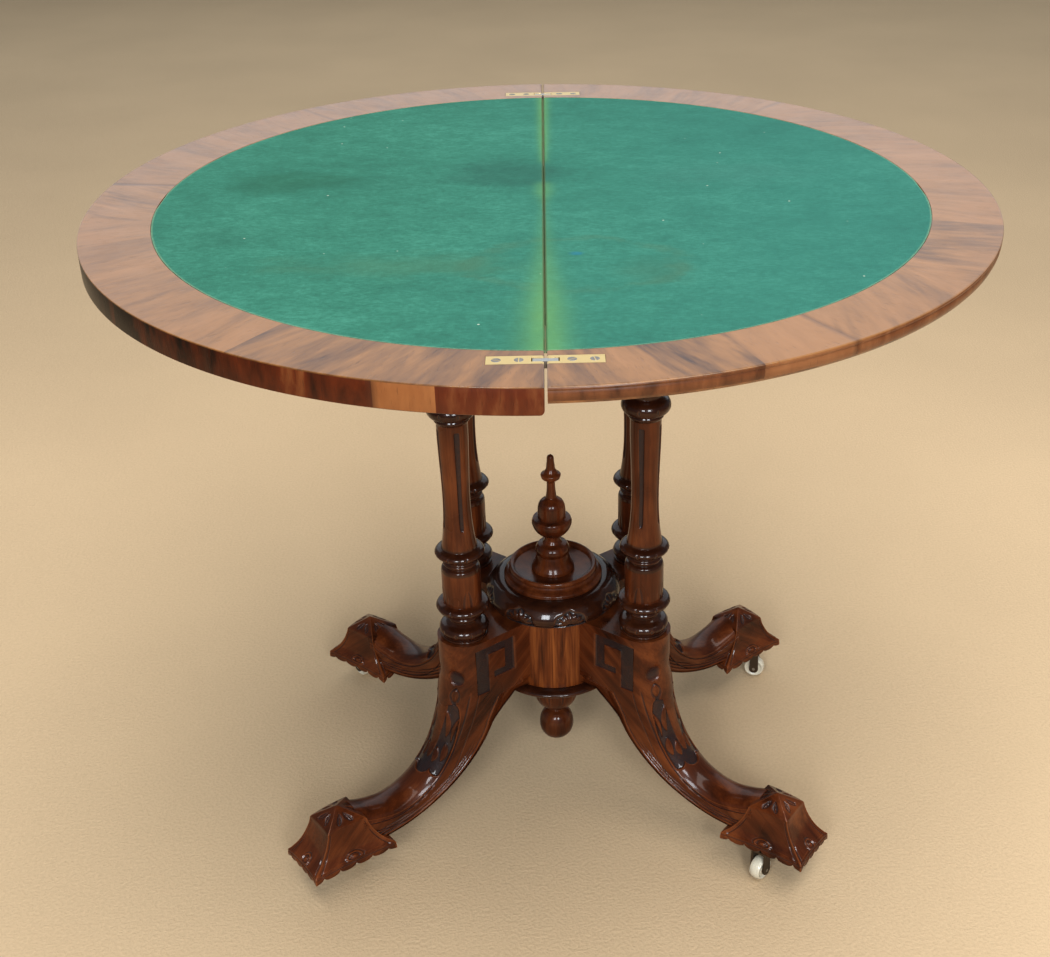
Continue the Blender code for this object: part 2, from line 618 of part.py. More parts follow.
def rib(outer, inner, half_width, crown):
    """One section of a leg: flat at the inner end and rounded over at the outer end."""
    along = Vector((outer[0] - inner[0], 0, outer[1] - inner[1]))
    shoulder = along * (1 - crown / along.length)
    lift = along.normalized() * crown
    start = Vector((inner[0], 0, inner[1]))
    points = [start + Vector((0, -half_width, 0))]
    for step in range(LEG_CROWN_STEPS + 1):
        angle = pi * step / LEG_CROWN_STEPS
        points.append(start + shoulder + lift * sin(angle) + Vector((0, -half_width * cos(angle), 0)))
    points.append(start + Vector((0, half_width, 0)))
    return points


def leg_ribs():
    """The leg's sections from the flat top of its block down into the foot, with the leg along +X."""
    heel = DRUM_RADIUS - BLOCK_RADIUS
    ribs = [rib((BLOCK_END, BLOCK_TOP), (heel, BLOCK_TOP), BLOCK_RADIUS, BLOCK_RADIUS)]
    for outer_up, inner_up in LEG_BLOCK_SHARES:
        ends = (BLOCK_END, outer_up * BLOCK_TOP), (heel, inner_up * DRUM_BOTTOM)
        ribs.append(rib(*ends, BLOCK_RADIUS, BLOCK_RADIUS))
    for outer_run, outer_up, inner_run, inner_up, slim in LEG_RIB_SHARES:
        outer = (BLOCK_END + outer_run * (FOOT_REACH - BLOCK_END), outer_up * BLOCK_TOP)
        inner = (HEEL_EDGE + inner_run * (FOOT_REACH - HEEL_EDGE), inner_up * DRUM_BOTTOM)
        half_width = BLOCK_RADIUS + slim * (LEG_FOOT_HALF_WIDTH - BLOCK_RADIUS)
        crown = BLOCK_RADIUS + slim * (LEG_CROWN - BLOCK_RADIUS)
        ribs.append(rib(outer, inner, half_width, crown))
    return ribs


def lofted(name, ribs):
    """A closed solid through sections with the same number of points."""
    bm = bmesh.new()
    rows = [[bm.verts.new(point) for point in points] for points in ribs]
    for upper, lower in zip(rows, rows[1:]):
        for index in range(len(upper)):
            after = (index + 1) % len(upper)
            bm.faces.new((upper[index], upper[after], lower[after], lower[index]))
    bm.faces.new(rows[0])
    bm.faces.new(rows[-1])
    return place(name, finish_mesh(name, bm))


def foot_ring(bm, length_share, width_share, inset, corner_height, middle_height):
    """Eight points round the foot, corners and middles of the sides in turn."""
    places = [(1, -1), (1, 0), (1, 1), (0, 1), (-1, 1), (-1, 0), (-1, -1), (0, -1)]
    ring_verts = []
    for along, across in places:
        height = corner_height if along and across else middle_height
        width = (FOOT_OUTER_WIDTH * (1 + along) + FOOT_INNER_WIDTH * (1 - along)) / 2
        run = along * (FOOT_LENGTH / 2 * length_share - inset)
        ring_verts.append(bm.verts.new((FOOT_REACH + run, across * (width / 2 * width_share - inset), height)))
    return ring_verts


def foot():
    """The hood of the foot: a flared skirt, four small gables and a pointed roof, hollowed below."""
    bm = bmesh.new()
    ceiling = FOOT_BOTTOM + FOOT_RECESS_DEPTH
    lip = [FOOT_BOTTOM + share * FOOT_HEIGHT for share in FOOT_LEVEL_SHARES[0][2:]]
    rows = [foot_ring(bm, 1, 1, FOOT_LIP_THICKNESS, *heights) for heights in ((ceiling, ceiling), lip)]
    for length_share, width_share, corner_share, middle_share in FOOT_LEVEL_SHARES:
        corner = FOOT_BOTTOM + corner_share * FOOT_HEIGHT
        middle = FOOT_BOTTOM + middle_share * FOOT_HEIGHT
        rows.append(foot_ring(bm, length_share, width_share, 0, corner, middle))
    bm.faces.new(rows[0])
    for upper, lower in zip(rows, rows[1:]):
        for index in range(len(upper)):
            after = (index + 1) % len(upper)
            bm.faces.new((upper[index], upper[after], lower[after], lower[index]))
    apex = bm.verts.new((FOOT_REACH, 0, FOOT_BOTTOM + FOOT_HEIGHT))
    for index in range(len(rows[-1])):
        after = (index + 1) % len(rows[-1])
        bm.faces.new((rows[-1][index], rows[-1][after], apex))
    return place("foot_hood", finish_mesh("foot_hood", bm))


def legs():
    """One leg is modelled along +X, then set at each corner. The drum's curve is cut from its heel."""
    pattern = lofted("leg_pattern", leg_ribs())
    combine(pattern, foot(), "UNION")
    cut = cylinder("drum_cut", DRUM_CUT_RADIUS, DRUM_BOTTOM - OVERRUN, BLOCK_TOP + OVERRUN, DRUM_STEPS)
    combine(pattern, cut)
    mesh = baked(pattern)
    for corner, angle in CORNERS.items():
        leg = place(f"leg_{corner}", mesh, DARK_WALNUT)
        leg.rotation_euler = (0, 0, angle)


def centre():
    """The drum between the legs, with the turnings stacked over and under it."""
    cylinder("drum", DRUM_RADIUS, DRUM_BOTTOM, BLOCK_TOP, DRUM_STEPS, LIGHT_WALNUT)
    turned_solid(
        "carved_ring", CARVED_RING_SHARES, CARVED_RING_RADIUS, CARVED_RING_HEIGHT, CARVED_RING_BOTTOM,
        DRUM_STEPS, DARK_WALNUT,
    )
    turned_solid("lid", LID_SHARES, LID_RADIUS, LID_HEIGHT, LID_BOTTOM, CENTRE_STEPS, DARK_WALNUT)
    turned_solid("finial", FINIAL_SHARES, FINIAL_RADIUS, FINIAL_HEIGHT, FINIAL_BOTTOM, CENTRE_STEPS, DARK_WALNUT)
    turned_solid(
        "drum_base_ring", BASE_RING_SHARES, BASE_RING_RADIUS, BASE_RING_HEIGHT, BASE_RING_BOTTOM,
        DRUM_STEPS, DARK_WALNUT,
    )
    turned_solid("drop", DROP_SHARES, DROP_RADIUS, DROP_HEIGHT, DROP_BOTTOM, CENTRE_STEPS, DARK_WALNUT)


def castor_plate(corner, x, y):
    """The plate screwed under a foot, with the stem and the riveted head that carry the fork."""
    plate_low = CASTOR_PLATE_TOP - CASTOR_PLATE_THICKNESS
    head_top = FORK_BOTTOM - FIT_GAP
    head_low = head_top - CASTOR_HEAD_THICKNESS
    profile = [(0, CASTOR_PLATE_TOP), (CASTOR_PLATE_RADIUS, CASTOR_PLATE_TOP), (CASTOR_PLATE_RADIUS, plate_low)]
    profile += [(CASTOR_STEM_RADIUS, plate_low), (CASTOR_STEM_RADIUS, head_top), (CASTOR_HEAD_RADIUS, head_top)]
    profile += [(CASTOR_HEAD_RADIUS, head_low), (0, head_low)]
    plate = turned(f"castor_{corner}_plate", profile, CASTOR_STEPS, BRASS)
    plate.location = (x, y, 0)


def fork_mesh():
    """The fork along +X: a disc round the stem, a bridge over the wheel and an arm on each side."""
    disc = cylinder("fork_pattern", FORK_DISC_RADIUS, FORK_BOTTOM, FORK_TOP, CASTOR_STEPS)
    reach = CASTOR_OFFSET + FORK_ARM_WIDTH / 2
    bridge = block("fork_bridge", (0, -AXLE_SPAN, FORK_BOTTOM), (reach, AXLE_SPAN, FORK_TOP))
    combine(disc, bridge, "UNION")
    half_width = FORK_ARM_WIDTH / 2
    for side in (-1, 1):
        inner, outer = AXLE_SPAN - FORK_ARM_THICKNESS, AXLE_SPAN
        near, far = sorted((side * inner, side * outer))
        outline = [(CASTOR_OFFSET - half_width, near, FORK_TOP), (CASTOR_OFFSET + half_width, near, FORK_TOP)]
        for step in range(LEG_CROWN_STEPS + 1):
            angle = pi * step / LEG_CROWN_STEPS
            run, drop = FORK_EYE_RADIUS * cos(angle), FORK_EYE_RADIUS * sin(angle)
            outline.append((CASTOR_OFFSET + run, near, WHEEL_RADIUS - drop))
        combine(disc, prism(f"fork_arm_{side}", outline, (0, far - near, 0)), "UNION")
    eye = cylinder("fork_eye", AXLE_RADIUS + FIT_GAP, -AXLE_SPAN - OVERRUN, AXLE_SPAN + OVERRUN, PIN_STEPS)
    combine(disc, lay_along_y(eye, CASTOR_OFFSET, 0, WHEEL_RADIUS))
    hole = cylinder("fork_hole", CASTOR_STEM_RADIUS + FIT_GAP, FORK_BOTTOM - OVERRUN, FORK_TOP + OVERRUN, PIN_STEPS)
    combine(disc, hole)
    return baked(disc)


def wheel_profile():
    """A ceramic wheel with rounded shoulders, bored for the axle."""
    half = WHEEL_WIDTH / 2
    tread = WHEEL_RADIUS - WHEEL_ROUNDING
    bore = AXLE_RADIUS + FIT_GAP
    return [(bore, half), (tread, half), (WHEEL_RADIUS, half - WHEEL_ROUNDING)] + [
        (WHEEL_RADIUS, WHEEL_ROUNDING - half), (tread, -half), (bore, -half)
    ]


def castors():
    """Each castor swivels on its stem and trails by its offset, with its wheel on an axle of its own."""
    mesh = fork_mesh()
    for corner, angle in CORNERS.items():
        x, y = FOOT_REACH * cos(angle), FOOT_REACH * sin(angle)
        heading = CASTOR_HEADINGS[corner]
        castor_plate(corner, x, y)
        fork = place(f"castor_{corner}_fork", mesh, IRON)
        fork.location = (x, y, 0)
        fork.rotation_euler = (0, 0, heading)
        centre_point = (x + CASTOR_OFFSET * cos(heading), y + CASTOR_OFFSET * sin(heading), WHEEL_RADIUS)
        axle = cylinder(f"castor_{corner}_axle", AXLE_RADIUS, -AXLE_SPAN, AXLE_SPAN, PIN_STEPS, STEEL)
        wheel = turned(f"castor_{corner}_wheel", wheel_profile(), CASTOR_STEPS, CERAMIC, closed=True)
        for piece in (axle, wheel):
            piece.matrix_world = (
                Matrix.Translation(centre_point) @ Matrix.Rotation(heading, 4, "Z") @ Matrix.Rotation(pi / 2, 4, "X")
            )
            hang_on(piece, fork)


def main():
    clear_scene()
    swivel = top()
    well_bore = sub_frame()
    pivot(swivel, well_bore)
    stop(swivel)
    columns()
    legs()
    centre()
    castors()


main()
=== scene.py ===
"""A Victorian walnut demi-lune card table with a fold-over swivel top, dressed over its solid model."""

from math import atan2, ceil, cos, pi, radians, sin, sqrt

import bmesh
import bpy
import numpy as np
from bpy.props import FloatProperty, FloatVectorProperty, IntProperty, PointerProperty
from mathutils import Matrix, Vector


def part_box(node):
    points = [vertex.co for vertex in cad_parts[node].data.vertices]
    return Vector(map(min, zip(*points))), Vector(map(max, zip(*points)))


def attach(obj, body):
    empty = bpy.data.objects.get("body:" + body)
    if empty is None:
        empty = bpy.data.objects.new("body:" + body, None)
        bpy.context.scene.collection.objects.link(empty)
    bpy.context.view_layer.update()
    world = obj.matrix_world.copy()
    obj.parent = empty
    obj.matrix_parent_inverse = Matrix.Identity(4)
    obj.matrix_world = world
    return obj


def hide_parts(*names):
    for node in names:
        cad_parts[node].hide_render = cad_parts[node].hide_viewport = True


bl_info = {
    "name": "Demi-lune card table",
    "version": (1, 0, 0),
    "blender": (4, 5, 0),
    "location": "View3D > Sidebar > Card table",
    "description": "Builds the pieces and finishes of a folding walnut card table",
    "category": "Add Mesh",
}

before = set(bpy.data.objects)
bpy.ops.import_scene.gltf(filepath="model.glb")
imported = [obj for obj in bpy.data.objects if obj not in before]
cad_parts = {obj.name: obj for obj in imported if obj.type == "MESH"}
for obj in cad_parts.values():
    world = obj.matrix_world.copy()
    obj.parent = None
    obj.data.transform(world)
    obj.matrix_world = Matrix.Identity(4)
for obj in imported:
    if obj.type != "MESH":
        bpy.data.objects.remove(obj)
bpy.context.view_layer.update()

LEAF_LOW, LEAF_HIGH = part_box("lower_leaf_board")
RIM_LOW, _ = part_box("lower_leaf_rim")
BAIZE_LOW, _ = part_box("lower_leaf_baize")
DRUM_LOW, DRUM_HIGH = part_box("drum")

# The leaves
TOP_HEIGHT = LEAF_HIGH.z
LEAF_UNDERSIDE = LEAF_LOW.z
LIP_UNDERSIDE = RIM_LOW.z
LIP_WIDTH = 0.022
FOLD_EDGE = -LEAF_HIGH.x
BAIZE_SEAT_DEPTH = 0.0013
SMALL_ARRIS = 0.0006
FOLD_END_ROUNDING = 0.0045
FOLD_ARRIS = 0.0010
LEAF_POINTS = 360
LEAF_SHARP_ANGLE = 28
BLANK_BORE = 0.02
BLANK_RING = 0.20
SEAT_ARRIS = 0.0002
INNER_GUARD = 0.0010
OUTER_GUARD = 0.0008
PIN_INSET = 0.0035
PIN_DEPTH = 0.0033
ROLL_RADIUS = 0.0034
ROLL_START, ROLL_END = 1.326, 0.83
ROLL_STEPS = 8
ROUNDING_STEPS = 6
OVERRUN = 0.004
# Each step of the moulded edge: how far in, and how far down
MOULDING = (
    (0.0015, 0.0), (0.0004, 0.0005), (0.0, 0.0016), (0.0003, 0.0030), (0.0012, 0.0036), (0.0010, 0.0042),
    (0.0003, 0.0062), (0.0006, 0.0092), (0.0020, 0.0125), (0.0045, 0.0155), (0.0060, 0.0160),
)

# The hinges
HINGE_PLACES = {"front": -0.400, "back": 0.400}
PLATE_LENGTH = 0.046
PLATE_HALF_WIDTH = 0.0075
PLATE_THICKNESS = 0.002
CHEEK_LENGTH = 0.012
CHEEK_DEPTH = 0.007
LINK_HALF_WIDTH = 0.003
LINK_SWEEP = 0.00716
FIT_GAP = 0.0003
SCREW_PLACES = (0.0205, 0.0380)
SCREW_RADIUS = 0.0040
SCREW_HEIGHT = 0.0016
SCREW_PROUD = 0.00012
SCREW_ARRIS = 0.00022
SLOT_HALF_WIDTH = 0.00042
SLOT_DEPTH = 0.0008
FIRST_SLOT_TURN, SLOT_TURN_STEP = 0.4, 1.13

# The baize
BAIZE_ROWS, BAIZE_COLUMNS = 72, 120
BAIZE_ROLLED_INSETS = (0.0001, 0.0002, 0.0004, 0.0007, 0.0011, 0.0016, 0.0022, 0.0029, 0.0036)
BAIZE_FLAT_INSET = 0.0045
BAIZE_END_SPACE = 0.0008
BAIZE_FRAY = 0.0003
BAIZE_PROUD = 0.00012
BAIZE_WAVE = 0.00010

# The legs, with each leg drawn along +X and turned to its corner
LEG_ANGLE = radians(36.8)
CORNERS = {
    "front_left": pi + LEG_ANGLE,
    "front_right": -LEG_ANGLE,
    "back_left": pi - LEG_ANGLE,
    "back_right": LEG_ANGLE,
}
BLOCK_TOP = 0.2585
BLOCK_RADIUS = 0.0305
COLUMN_REACH = 0.1255
BLOCK_END = 0.156
BLOCK_HEEL = 0.0355
HEEL_EDGE = 0.0785
FOOT_REACH = 0.3058
LEG_HALF_WIDTH = 0.024
LEG_CROWN = 0.016
DRUM_BOTTOM = 0.169
# Each section below the block: outer run and rise, inner run and rise, slimness
LEG_SHARES = (
    (0.027, 0.740, 0.000, 1.000, 0.10), (0.050, 0.658, 0.121, 0.849, 0.30),
    (0.087, 0.580, 0.191, 0.704, 0.50), (0.150, 0.491, 0.271, 0.583, 0.65),
    (0.260, 0.402, 0.394, 0.456, 0.75), (0.414, 0.340, 0.539, 0.361, 0.85),
    (0.587, 0.317, 0.675, 0.308, 0.95), (0.748, 0.337, 0.807, 0.290, 1.00),
    (0.881, 0.368, 0.908, 0.290, 1.00),
)
CARVED_RUN = 0.176
CARVED_ROWS = 250
PLAIN_ROWS = 110
LEG_SIDE_POINTS = 84
LEG_CROWN_POINTS = 95
LEG_HEEL_POINTS = 7

# The feet
FOOT_LENGTH = 0.101
FOOT_OUTER_WIDTH = 0.064
FOOT_INNER_WIDTH = 0.072
FOOT_BOTTOM = 0.0385
FOOT_HEIGHT = 0.0665
FOOT_SIDE_POINTS = 60
# Each level from the roof down: length share, width share, corner rise, middle rise, and 1 at a sharp corner
FOOT_LEVELS = (
    (0.02, 0.02, 1.000, 1.000, 1), (0.25, 0.34, 0.875, 0.888, 0), (0.460, 0.625, 0.765, 0.790, 1),
    (0.470, 0.635, 0.745, 0.770, 0), (0.478, 0.640, 0.715, 0.735, 0),
    (0.56, 0.69, 0.540, 0.540, 0), (0.76, 0.80, 0.300, 0.300, 0), (0.95, 0.94, 0.160, 0.190, 1),
    (0.990, 0.985, 0.140, 0.172, 0), (1.00, 1.00, 0.110, 0.145, 1), (1.00, 1.00, 0.015, 0.045, 1),
    (0.985, 0.98, 0.000, 0.030, 1), (0.90, 0.87, 0.000, 0.030, 1), (0.89, 0.86, 0.067, 0.075, 1),
)

# The columns, as radius share, height share, and 1 at a sharp corner
COLUMN_RADIUS = 0.0296
COLUMN_TOP = 0.6591
COLUMN_CAP_HEIGHT = 0.136
COLUMN_FOOT = 0.2588
COLUMN_BASE_HEIGHT = 0.118
COLUMN_CAP = (
    (0.845, 1.000, 1), (0.845, 0.963, 1), (0.700, 0.945, 0), (0.574, 0.926, 1), (0.574, 0.875, 1),
    (0.740, 0.856, 0), (0.797, 0.812, 0), (0.740, 0.770, 0), (0.557, 0.750, 1), (0.660, 0.700, 1),
    (0.690, 0.676, 1), (0.706, 0.500, 0), (0.710, 0.324, 1), (0.640, 0.285, 0), (0.557, 0.250, 1),
    (0.557, 0.191, 1), (0.810, 0.158, 0), (0.885, 0.114, 0), (0.810, 0.070, 0), (0.610, 0.051, 1),
    (0.650, 0.029, 0), (0.557, 0.000, 1),
)
COLUMN_BASE = (
    (0.635, 1.000, 0), (0.660, 0.964, 1), (0.860, 0.940, 0), (0.922, 0.914, 0), (0.840, 0.882, 0),
    (0.640, 0.858, 1), (0.575, 0.824, 1), (0.650, 0.800, 0), (0.580, 0.773, 1), (0.690, 0.752, 0),
    (0.726, 0.720, 1), (0.726, 0.375, 1), (0.940, 0.356, 0), (1.000, 0.332, 0), (0.912, 0.286, 1),
    (0.625, 0.252, 1), (0.545, 0.230, 0), (0.595, 0.200, 0), (0.540, 0.171, 1), (0.660, 0.146, 1),
    (0.870, 0.119, 0), (0.936, 0.082, 0), (0.878, 0.044, 1), (0.828, 0.025, 1), (0.895, 0.019, 1),
    (0.895, 0.000, 1),
)
FLUTE_TURNS = {
    "front_left": radians(-70.4),
    "front_right": radians(-109.6),
    "back_left": radians(70.4),
    "back_right": radians(109.6),
}

# The flutes of a column's shaft
SHAFT_RADIUS = 0.0195
FLUTE_LOW, FLUTE_HIGH = 0.3965, 0.5165
FLUTE_HALF_WIDTH = 0.0031
FLUTE_FLARE = 0.0010
FLUTE_FOOT = 0.006
FLUTE_HEAD = 0.0018
# The sunk arches of a column, and the small gouge on each side of one
TULIP_DEPTH = 0.0007
TULIP_RADIUS = 0.0215
TULIP_GOUGE = (0.0016, 0.0045)
# A notch's half width and half length, and each notched ring's place as a share, count and depth
NOTCH = (0.0022, 0.0030)
BASE_NOTCHES = ((0.914, 8, 0.0010), (0.332, 8, 0.0011), (0.082, 10, 0.0010))
CAP_NOTCHES = ((0.114, 8, 0.0010), (0.812, 8, 0.0010))

# The fans of the carved ring
FAN_COUNT = 8
FIRST_FAN = -76
FAN_STEP = 45
FAN_FOOT = 0.2612
FAN_RADIUS = 0.0195
FAN_REACH = 0.026
FAN_DEPTH = 0.0019
FAN_LEAF_LEAN = 25
FAN_LEAF_MIDDLE = 0.0100
FAN_LEAF = (0.0027, 0.0082)
VEIN_HALF_WIDTH = 0.0006
VEIN_DEPTH = 0.0006

# The gouges round the drop
DROP_GOUGE_COUNT = 10
DROP_GOUGE_PLACE_SHARE = 0.655
DROP_GOUGE = (0.0030, 0.0140)
DROP_GOUGE_DEPTH = 0.0009

# The key pattern on a leg block: left, right, low and high of each arm
FRET_ARMS = (
    (0.0800, 0.1315, 0.2385, 0.2485), (0.0800, 0.0925, 0.2045, 0.2485), (0.0800, 0.1080, 0.2045, 0.2125),
    (0.1150, 0.1315, 0.1880, 0.2485),
)
FRET_DEPTH = 0.0022

# The crown of a leg: its radius high up, at the panel and lower down, which turns radians into metres
HIGH_RADIUS, PANEL_RADIUS, LOW_RADIUS = 0.028, 0.026, 0.025
# Each leaf in a sunk panel: place round the crown, middle of the way down, lean, half width and half length
CROWN_LEAVES = (
    (0.52, 0.1030, 0.22, 0.0040, 0.0175), (0.84, 0.1060, -0.08, 0.0024, 0.0180),
    (0.77, 0.1370, 0.10, 0.0050, 0.0115), (0.38, 0.1440, 0.05, 0.0046, 0.0100),
)
# Lines down a leg: places on the way down, then how far the line lies from the crest in radians, or from
# the shoulder or the heel in metres
PANEL_EDGE = ((0.072, 0.080, 0.090, 0.120, 0.155), (0.60, 0.82, 0.93, 1.04, 1.05))
PANEL_TOP, PANEL_END = 0.0765, 0.1605
TONGUE_EDGE = ((0.084, 0.100, 0.130, 0.140, 0.148, 0.152), (0.34, 0.27, 0.21, 0.19, 0.12, 0.0))
TONGUE_END = 0.152
CROWN_REED = ((0.062, 0.170, 0.200, 0.250, 0.330), (1.19, 1.18, 1.26, 1.42, 1.50))
SIDE_REED = ((0.062, 0.130, 0.170, 0.250), (0.0005, 0.0030, 0.0065, 0.0095))
REED_START, REED_END = 0.062, 0.335
INNER_LINE = (
    (0.045, 0.064, 0.085, 0.097, 0.120, 0.145, 0.300),
    (0.0387, 0.0291, 0.0148, 0.0095, 0.0080, 0.0068, 0.0045),
)
ANKLE_GROOVES = (0.0050, 0.0088)
GROOVE_HALF_WIDTH = 0.0011
BEAD_HALF_WIDTH = 0.0010

# The carving on each face of a foot, in shares of the face's half width and of the way down
FOOT_RIM_LEVEL = 0.742
FOOT_RIM_SHARES = (0.20, 0.068)
FOOT_LIP_LEVEL = 0.795
FOOT_LEAF_LEVEL = 0.205
FOOT_LEAF_LEAN = 0.36
FOOT_LEAF_SHARES = (0.27, 0.095)
FOOT_LINE_LEVEL = 0.825
FOOT_SCALLOPS = 5
SCALLOP_SHARE = 0.072
WALL_PULL_SHARE = 0.035
FOOT_LEVEL_SPACING = 0.011

# The turnings stacked at the centre: radius, height, foot, and the outline in shares
RING_SIZES = (0.078, 0.0259, 0.2588)
RING_OUTLINE = (
    (0.747, 1.000, 1), (0.790, 0.995, 0), (0.860, 0.935, 0), (0.955, 0.665, 0), (1.000, 0.355, 0),
    (0.981, 0.143, 0), (0.937, 0.066, 1), (0.955, 0.046, 1), (0.955, 0.000, 1),
)
LID_SIZES = (0.0566, 0.0165, 0.2850)
LID_OUTLINE = (
    (0.440, 0.545, 1), (0.600, 0.610, 0), (0.777, 0.705, 1), (0.785, 0.850, 0), (0.822, 0.970, 0),
    (0.866, 1.000, 0), (0.890, 0.879, 0), (0.887, 0.697, 1), (0.848, 0.576, 1), (0.880, 0.440, 0),
    (0.960, 0.330, 0), (1.000, 0.200, 1), (1.000, 0.000, 1),
)
FINIAL_SIZES = (0.0248, 0.1472, 0.2943)
FINIAL_OUTLINE = (
    (0.02, 1.000, 1), (0.13, 0.985, 0), (0.165, 0.945, 0), (0.21, 0.878, 1), (0.30, 0.850, 1),
    (0.456, 0.830, 0), (0.42, 0.800, 1), (0.222, 0.776, 1), (0.187, 0.762, 1), (0.200, 0.700, 0),
    (0.246, 0.630, 1), (0.42, 0.610, 1), (0.530, 0.592, 0), (0.596, 0.570, 0), (0.637, 0.528, 0),
    (0.637, 0.457, 1), (0.865, 0.450, 1), (0.919, 0.425, 0), (0.865, 0.378, 0), (0.608, 0.320, 0),
    (0.362, 0.293, 1), (0.35, 0.260, 1), (0.444, 0.232, 1), (0.666, 0.219, 1), (0.766, 0.192, 0),
    (0.766, 0.151, 0), (0.713, 0.137, 1), (0.75, 0.120, 1), (0.86, 0.059, 0), (0.985, 0.020, 1),
    (1.00, 0.000, 1),
)
BASE_RING_SIZES = (0.0775, 0.0087, 0.1600)
BASE_RING_OUTLINE = (
    (0.930, 1.000, 1), (0.974, 0.805, 0), (1.000, 0.517, 0), (0.980, 0.230, 0), (0.903, 0.000, 1),
)
DROP_SIZES = (0.043, 0.111, 0.0487)
DROP_OUTLINE = (
    (1.00, 1.000, 1), (0.985, 0.972, 0), (0.93, 0.960, 1), (0.60, 0.915, 0), (0.37, 0.863, 1),
    (0.37, 0.801, 1), (0.546, 0.766, 0), (0.628, 0.679, 0), (0.612, 0.591, 0), (0.512, 0.495, 0),
    (0.326, 0.425, 0), (0.20, 0.394, 1), (0.20, 0.377, 1), (0.35, 0.341, 0), (0.45, 0.271, 0),
    (0.48, 0.190, 0), (0.45, 0.110, 0), (0.35, 0.048, 0), (0.186, 0.011, 0), (0.02, 0.000, 1),
)

# The castors
CASTOR_HEADINGS = {
    "front_left": radians(62),
    "front_right": radians(227),
    "back_left": radians(135),
    "back_right": radians(-14),
}
CASTOR_OFFSET = 0.026
WHEEL_RADIUS = 0.0138
WHEEL_HALF_WIDTH = 0.0065
WHEEL_BORE = 0.0023
WHEEL_BOSS_RADIUS = 0.0049
WHEEL_POINTS = 64
WHEEL_SPACING = 0.0008

# The photograph's width, the focal length and the middle of the view in its pixels, and the sensor's width
PHOTO_WIDTH = 1050
FOCAL_LENGTH = 1445.27
VIEW_MIDDLE = 593.5
SENSOR_WIDTH = 36.0

# The lights: name, place, aim, size, the property that holds the power, and colour
WINDOW_SIZE = (0.80, 1.10)
DAYLIGHT = (0.90, 0.95, 1.0)
LIGHTS = (
    ("window_left", (-0.85, -3.4, 2.1), (0, 0, 0.35), WINDOW_SIZE, "window_light", DAYLIGHT),
    ("window_right", (0.80, -3.4, 2.1), (0, 0, 0.35), WINDOW_SIZE, "window_light", DAYLIGHT),
    ("pale_wall", (0, 4.6, 2.9), (0, 0, 0.6), (8.0, 3.6), "wall_light", (0.86, 0.94, 1.0)),
    ("ceiling", (0.3, -0.4, 3.2), (0, 0, 0.4), (3.0, 3.0), "ceiling_light", (1.0, 0.97, 0.93)),
)
ROOM_COLOUR = (0.74, 0.80, 0.86, 1.0)
ROOM_STRENGTH = 0.26
FLOOR_RADII = (0.5, 1.5, 4.0, 12.0)
FLOOR_POINTS = 96


def length_property(name, description, default):
    return FloatProperty(name=name, description=description, default=default, unit="LENGTH")


def angle_property(name, description, default):
    return FloatProperty(name=name, description=description, default=default, subtype="ANGLE")


def power_property(name, description, default):
    return FloatProperty(name=name, description=description, default=default, subtype="POWER")


def colour_property(name, description, default):
    return FloatVectorProperty(
        name=name, description=description, default=default, subtype="COLOR", size=3, min=0, max=1
    )


class CardTableSizes(bpy.types.PropertyGroup):
    """The sizes of the top, and how finely the pieces are worked."""

    top_radius: length_property("Top radius", "Half the width of the round top", -LEAF_LOW.x)
    baize_radius: length_property("Baize radius", "Where the wooden border begins", -BAIZE_LOW.x)
    cloth_thickness: length_property("Baize thickness", "Thickness of the green cloth", 0.0010)
    turning_spacing: length_property("Turning step", "Distance between the lines of a turning", 0.0011)
    flute_depth: length_property("Flute depth", "How deep the flutes of a column are cut", 0.0021)
    column_points: IntProperty(
        name="Points round a column", description="How many points run round each column", default=168
    )


class CardTableColours(bpy.types.PropertyGroup):
    """The colours of the woods, the cloth and the metals."""

    walnut_deep: colour_property("Walnut shadow", "The dark grain of the base", (0.020, 0.006, 0.003))
    walnut_middle: colour_property("Walnut", "The polished wood of the base", (0.084, 0.022, 0.007))
    walnut_light: colour_property("Walnut light", "The paler streaks of the base", (0.190, 0.057, 0.017))
    drum_deep: colour_property("Drum shadow", "The dark stripes of the drum", (0.035, 0.010, 0.004))
    drum_middle: colour_property("Drum", "The straight-grained wood of the drum", (0.118, 0.031, 0.008))
    drum_light: colour_property("Drum light", "The orange stripes of the drum", (0.250, 0.081, 0.020))
    veneer_deep: colour_property("Veneer shadow", "The dark streaks of the border", (0.038, 0.013, 0.006))
    veneer_middle: colour_property("Veneer", "The border of the top", (0.196, 0.087, 0.025))
    veneer_light: colour_property("Veneer light", "The pale figure of the border", (0.284, 0.130, 0.044))
    baize_green: colour_property("Baize", "The green cloth", (0.028, 0.132, 0.093))
    baize_worn: colour_property("Worn baize", "Where the fold has yellowed the cloth", (0.110, 0.240, 0.080))
    pine: colour_property("Pine", "The rails under the top", (0.420, 0.260, 0.130))
    brass: colour_property("Brass", "The hinge plates", (0.760, 0.560, 0.260))
    steel: colour_property("Steel", "The hinge links, pins and screws", (0.420, 0.410, 0.400))
    iron: colour_property("Iron", "The swivel and the castor forks", (0.075, 0.060, 0.050))
    ceramic: colour_property("Ceramic", "The castor wheels", (0.660, 0.610, 0.490))
    floor: colour_property("Floor", "The pale floor", (0.562, 0.418, 0.262))


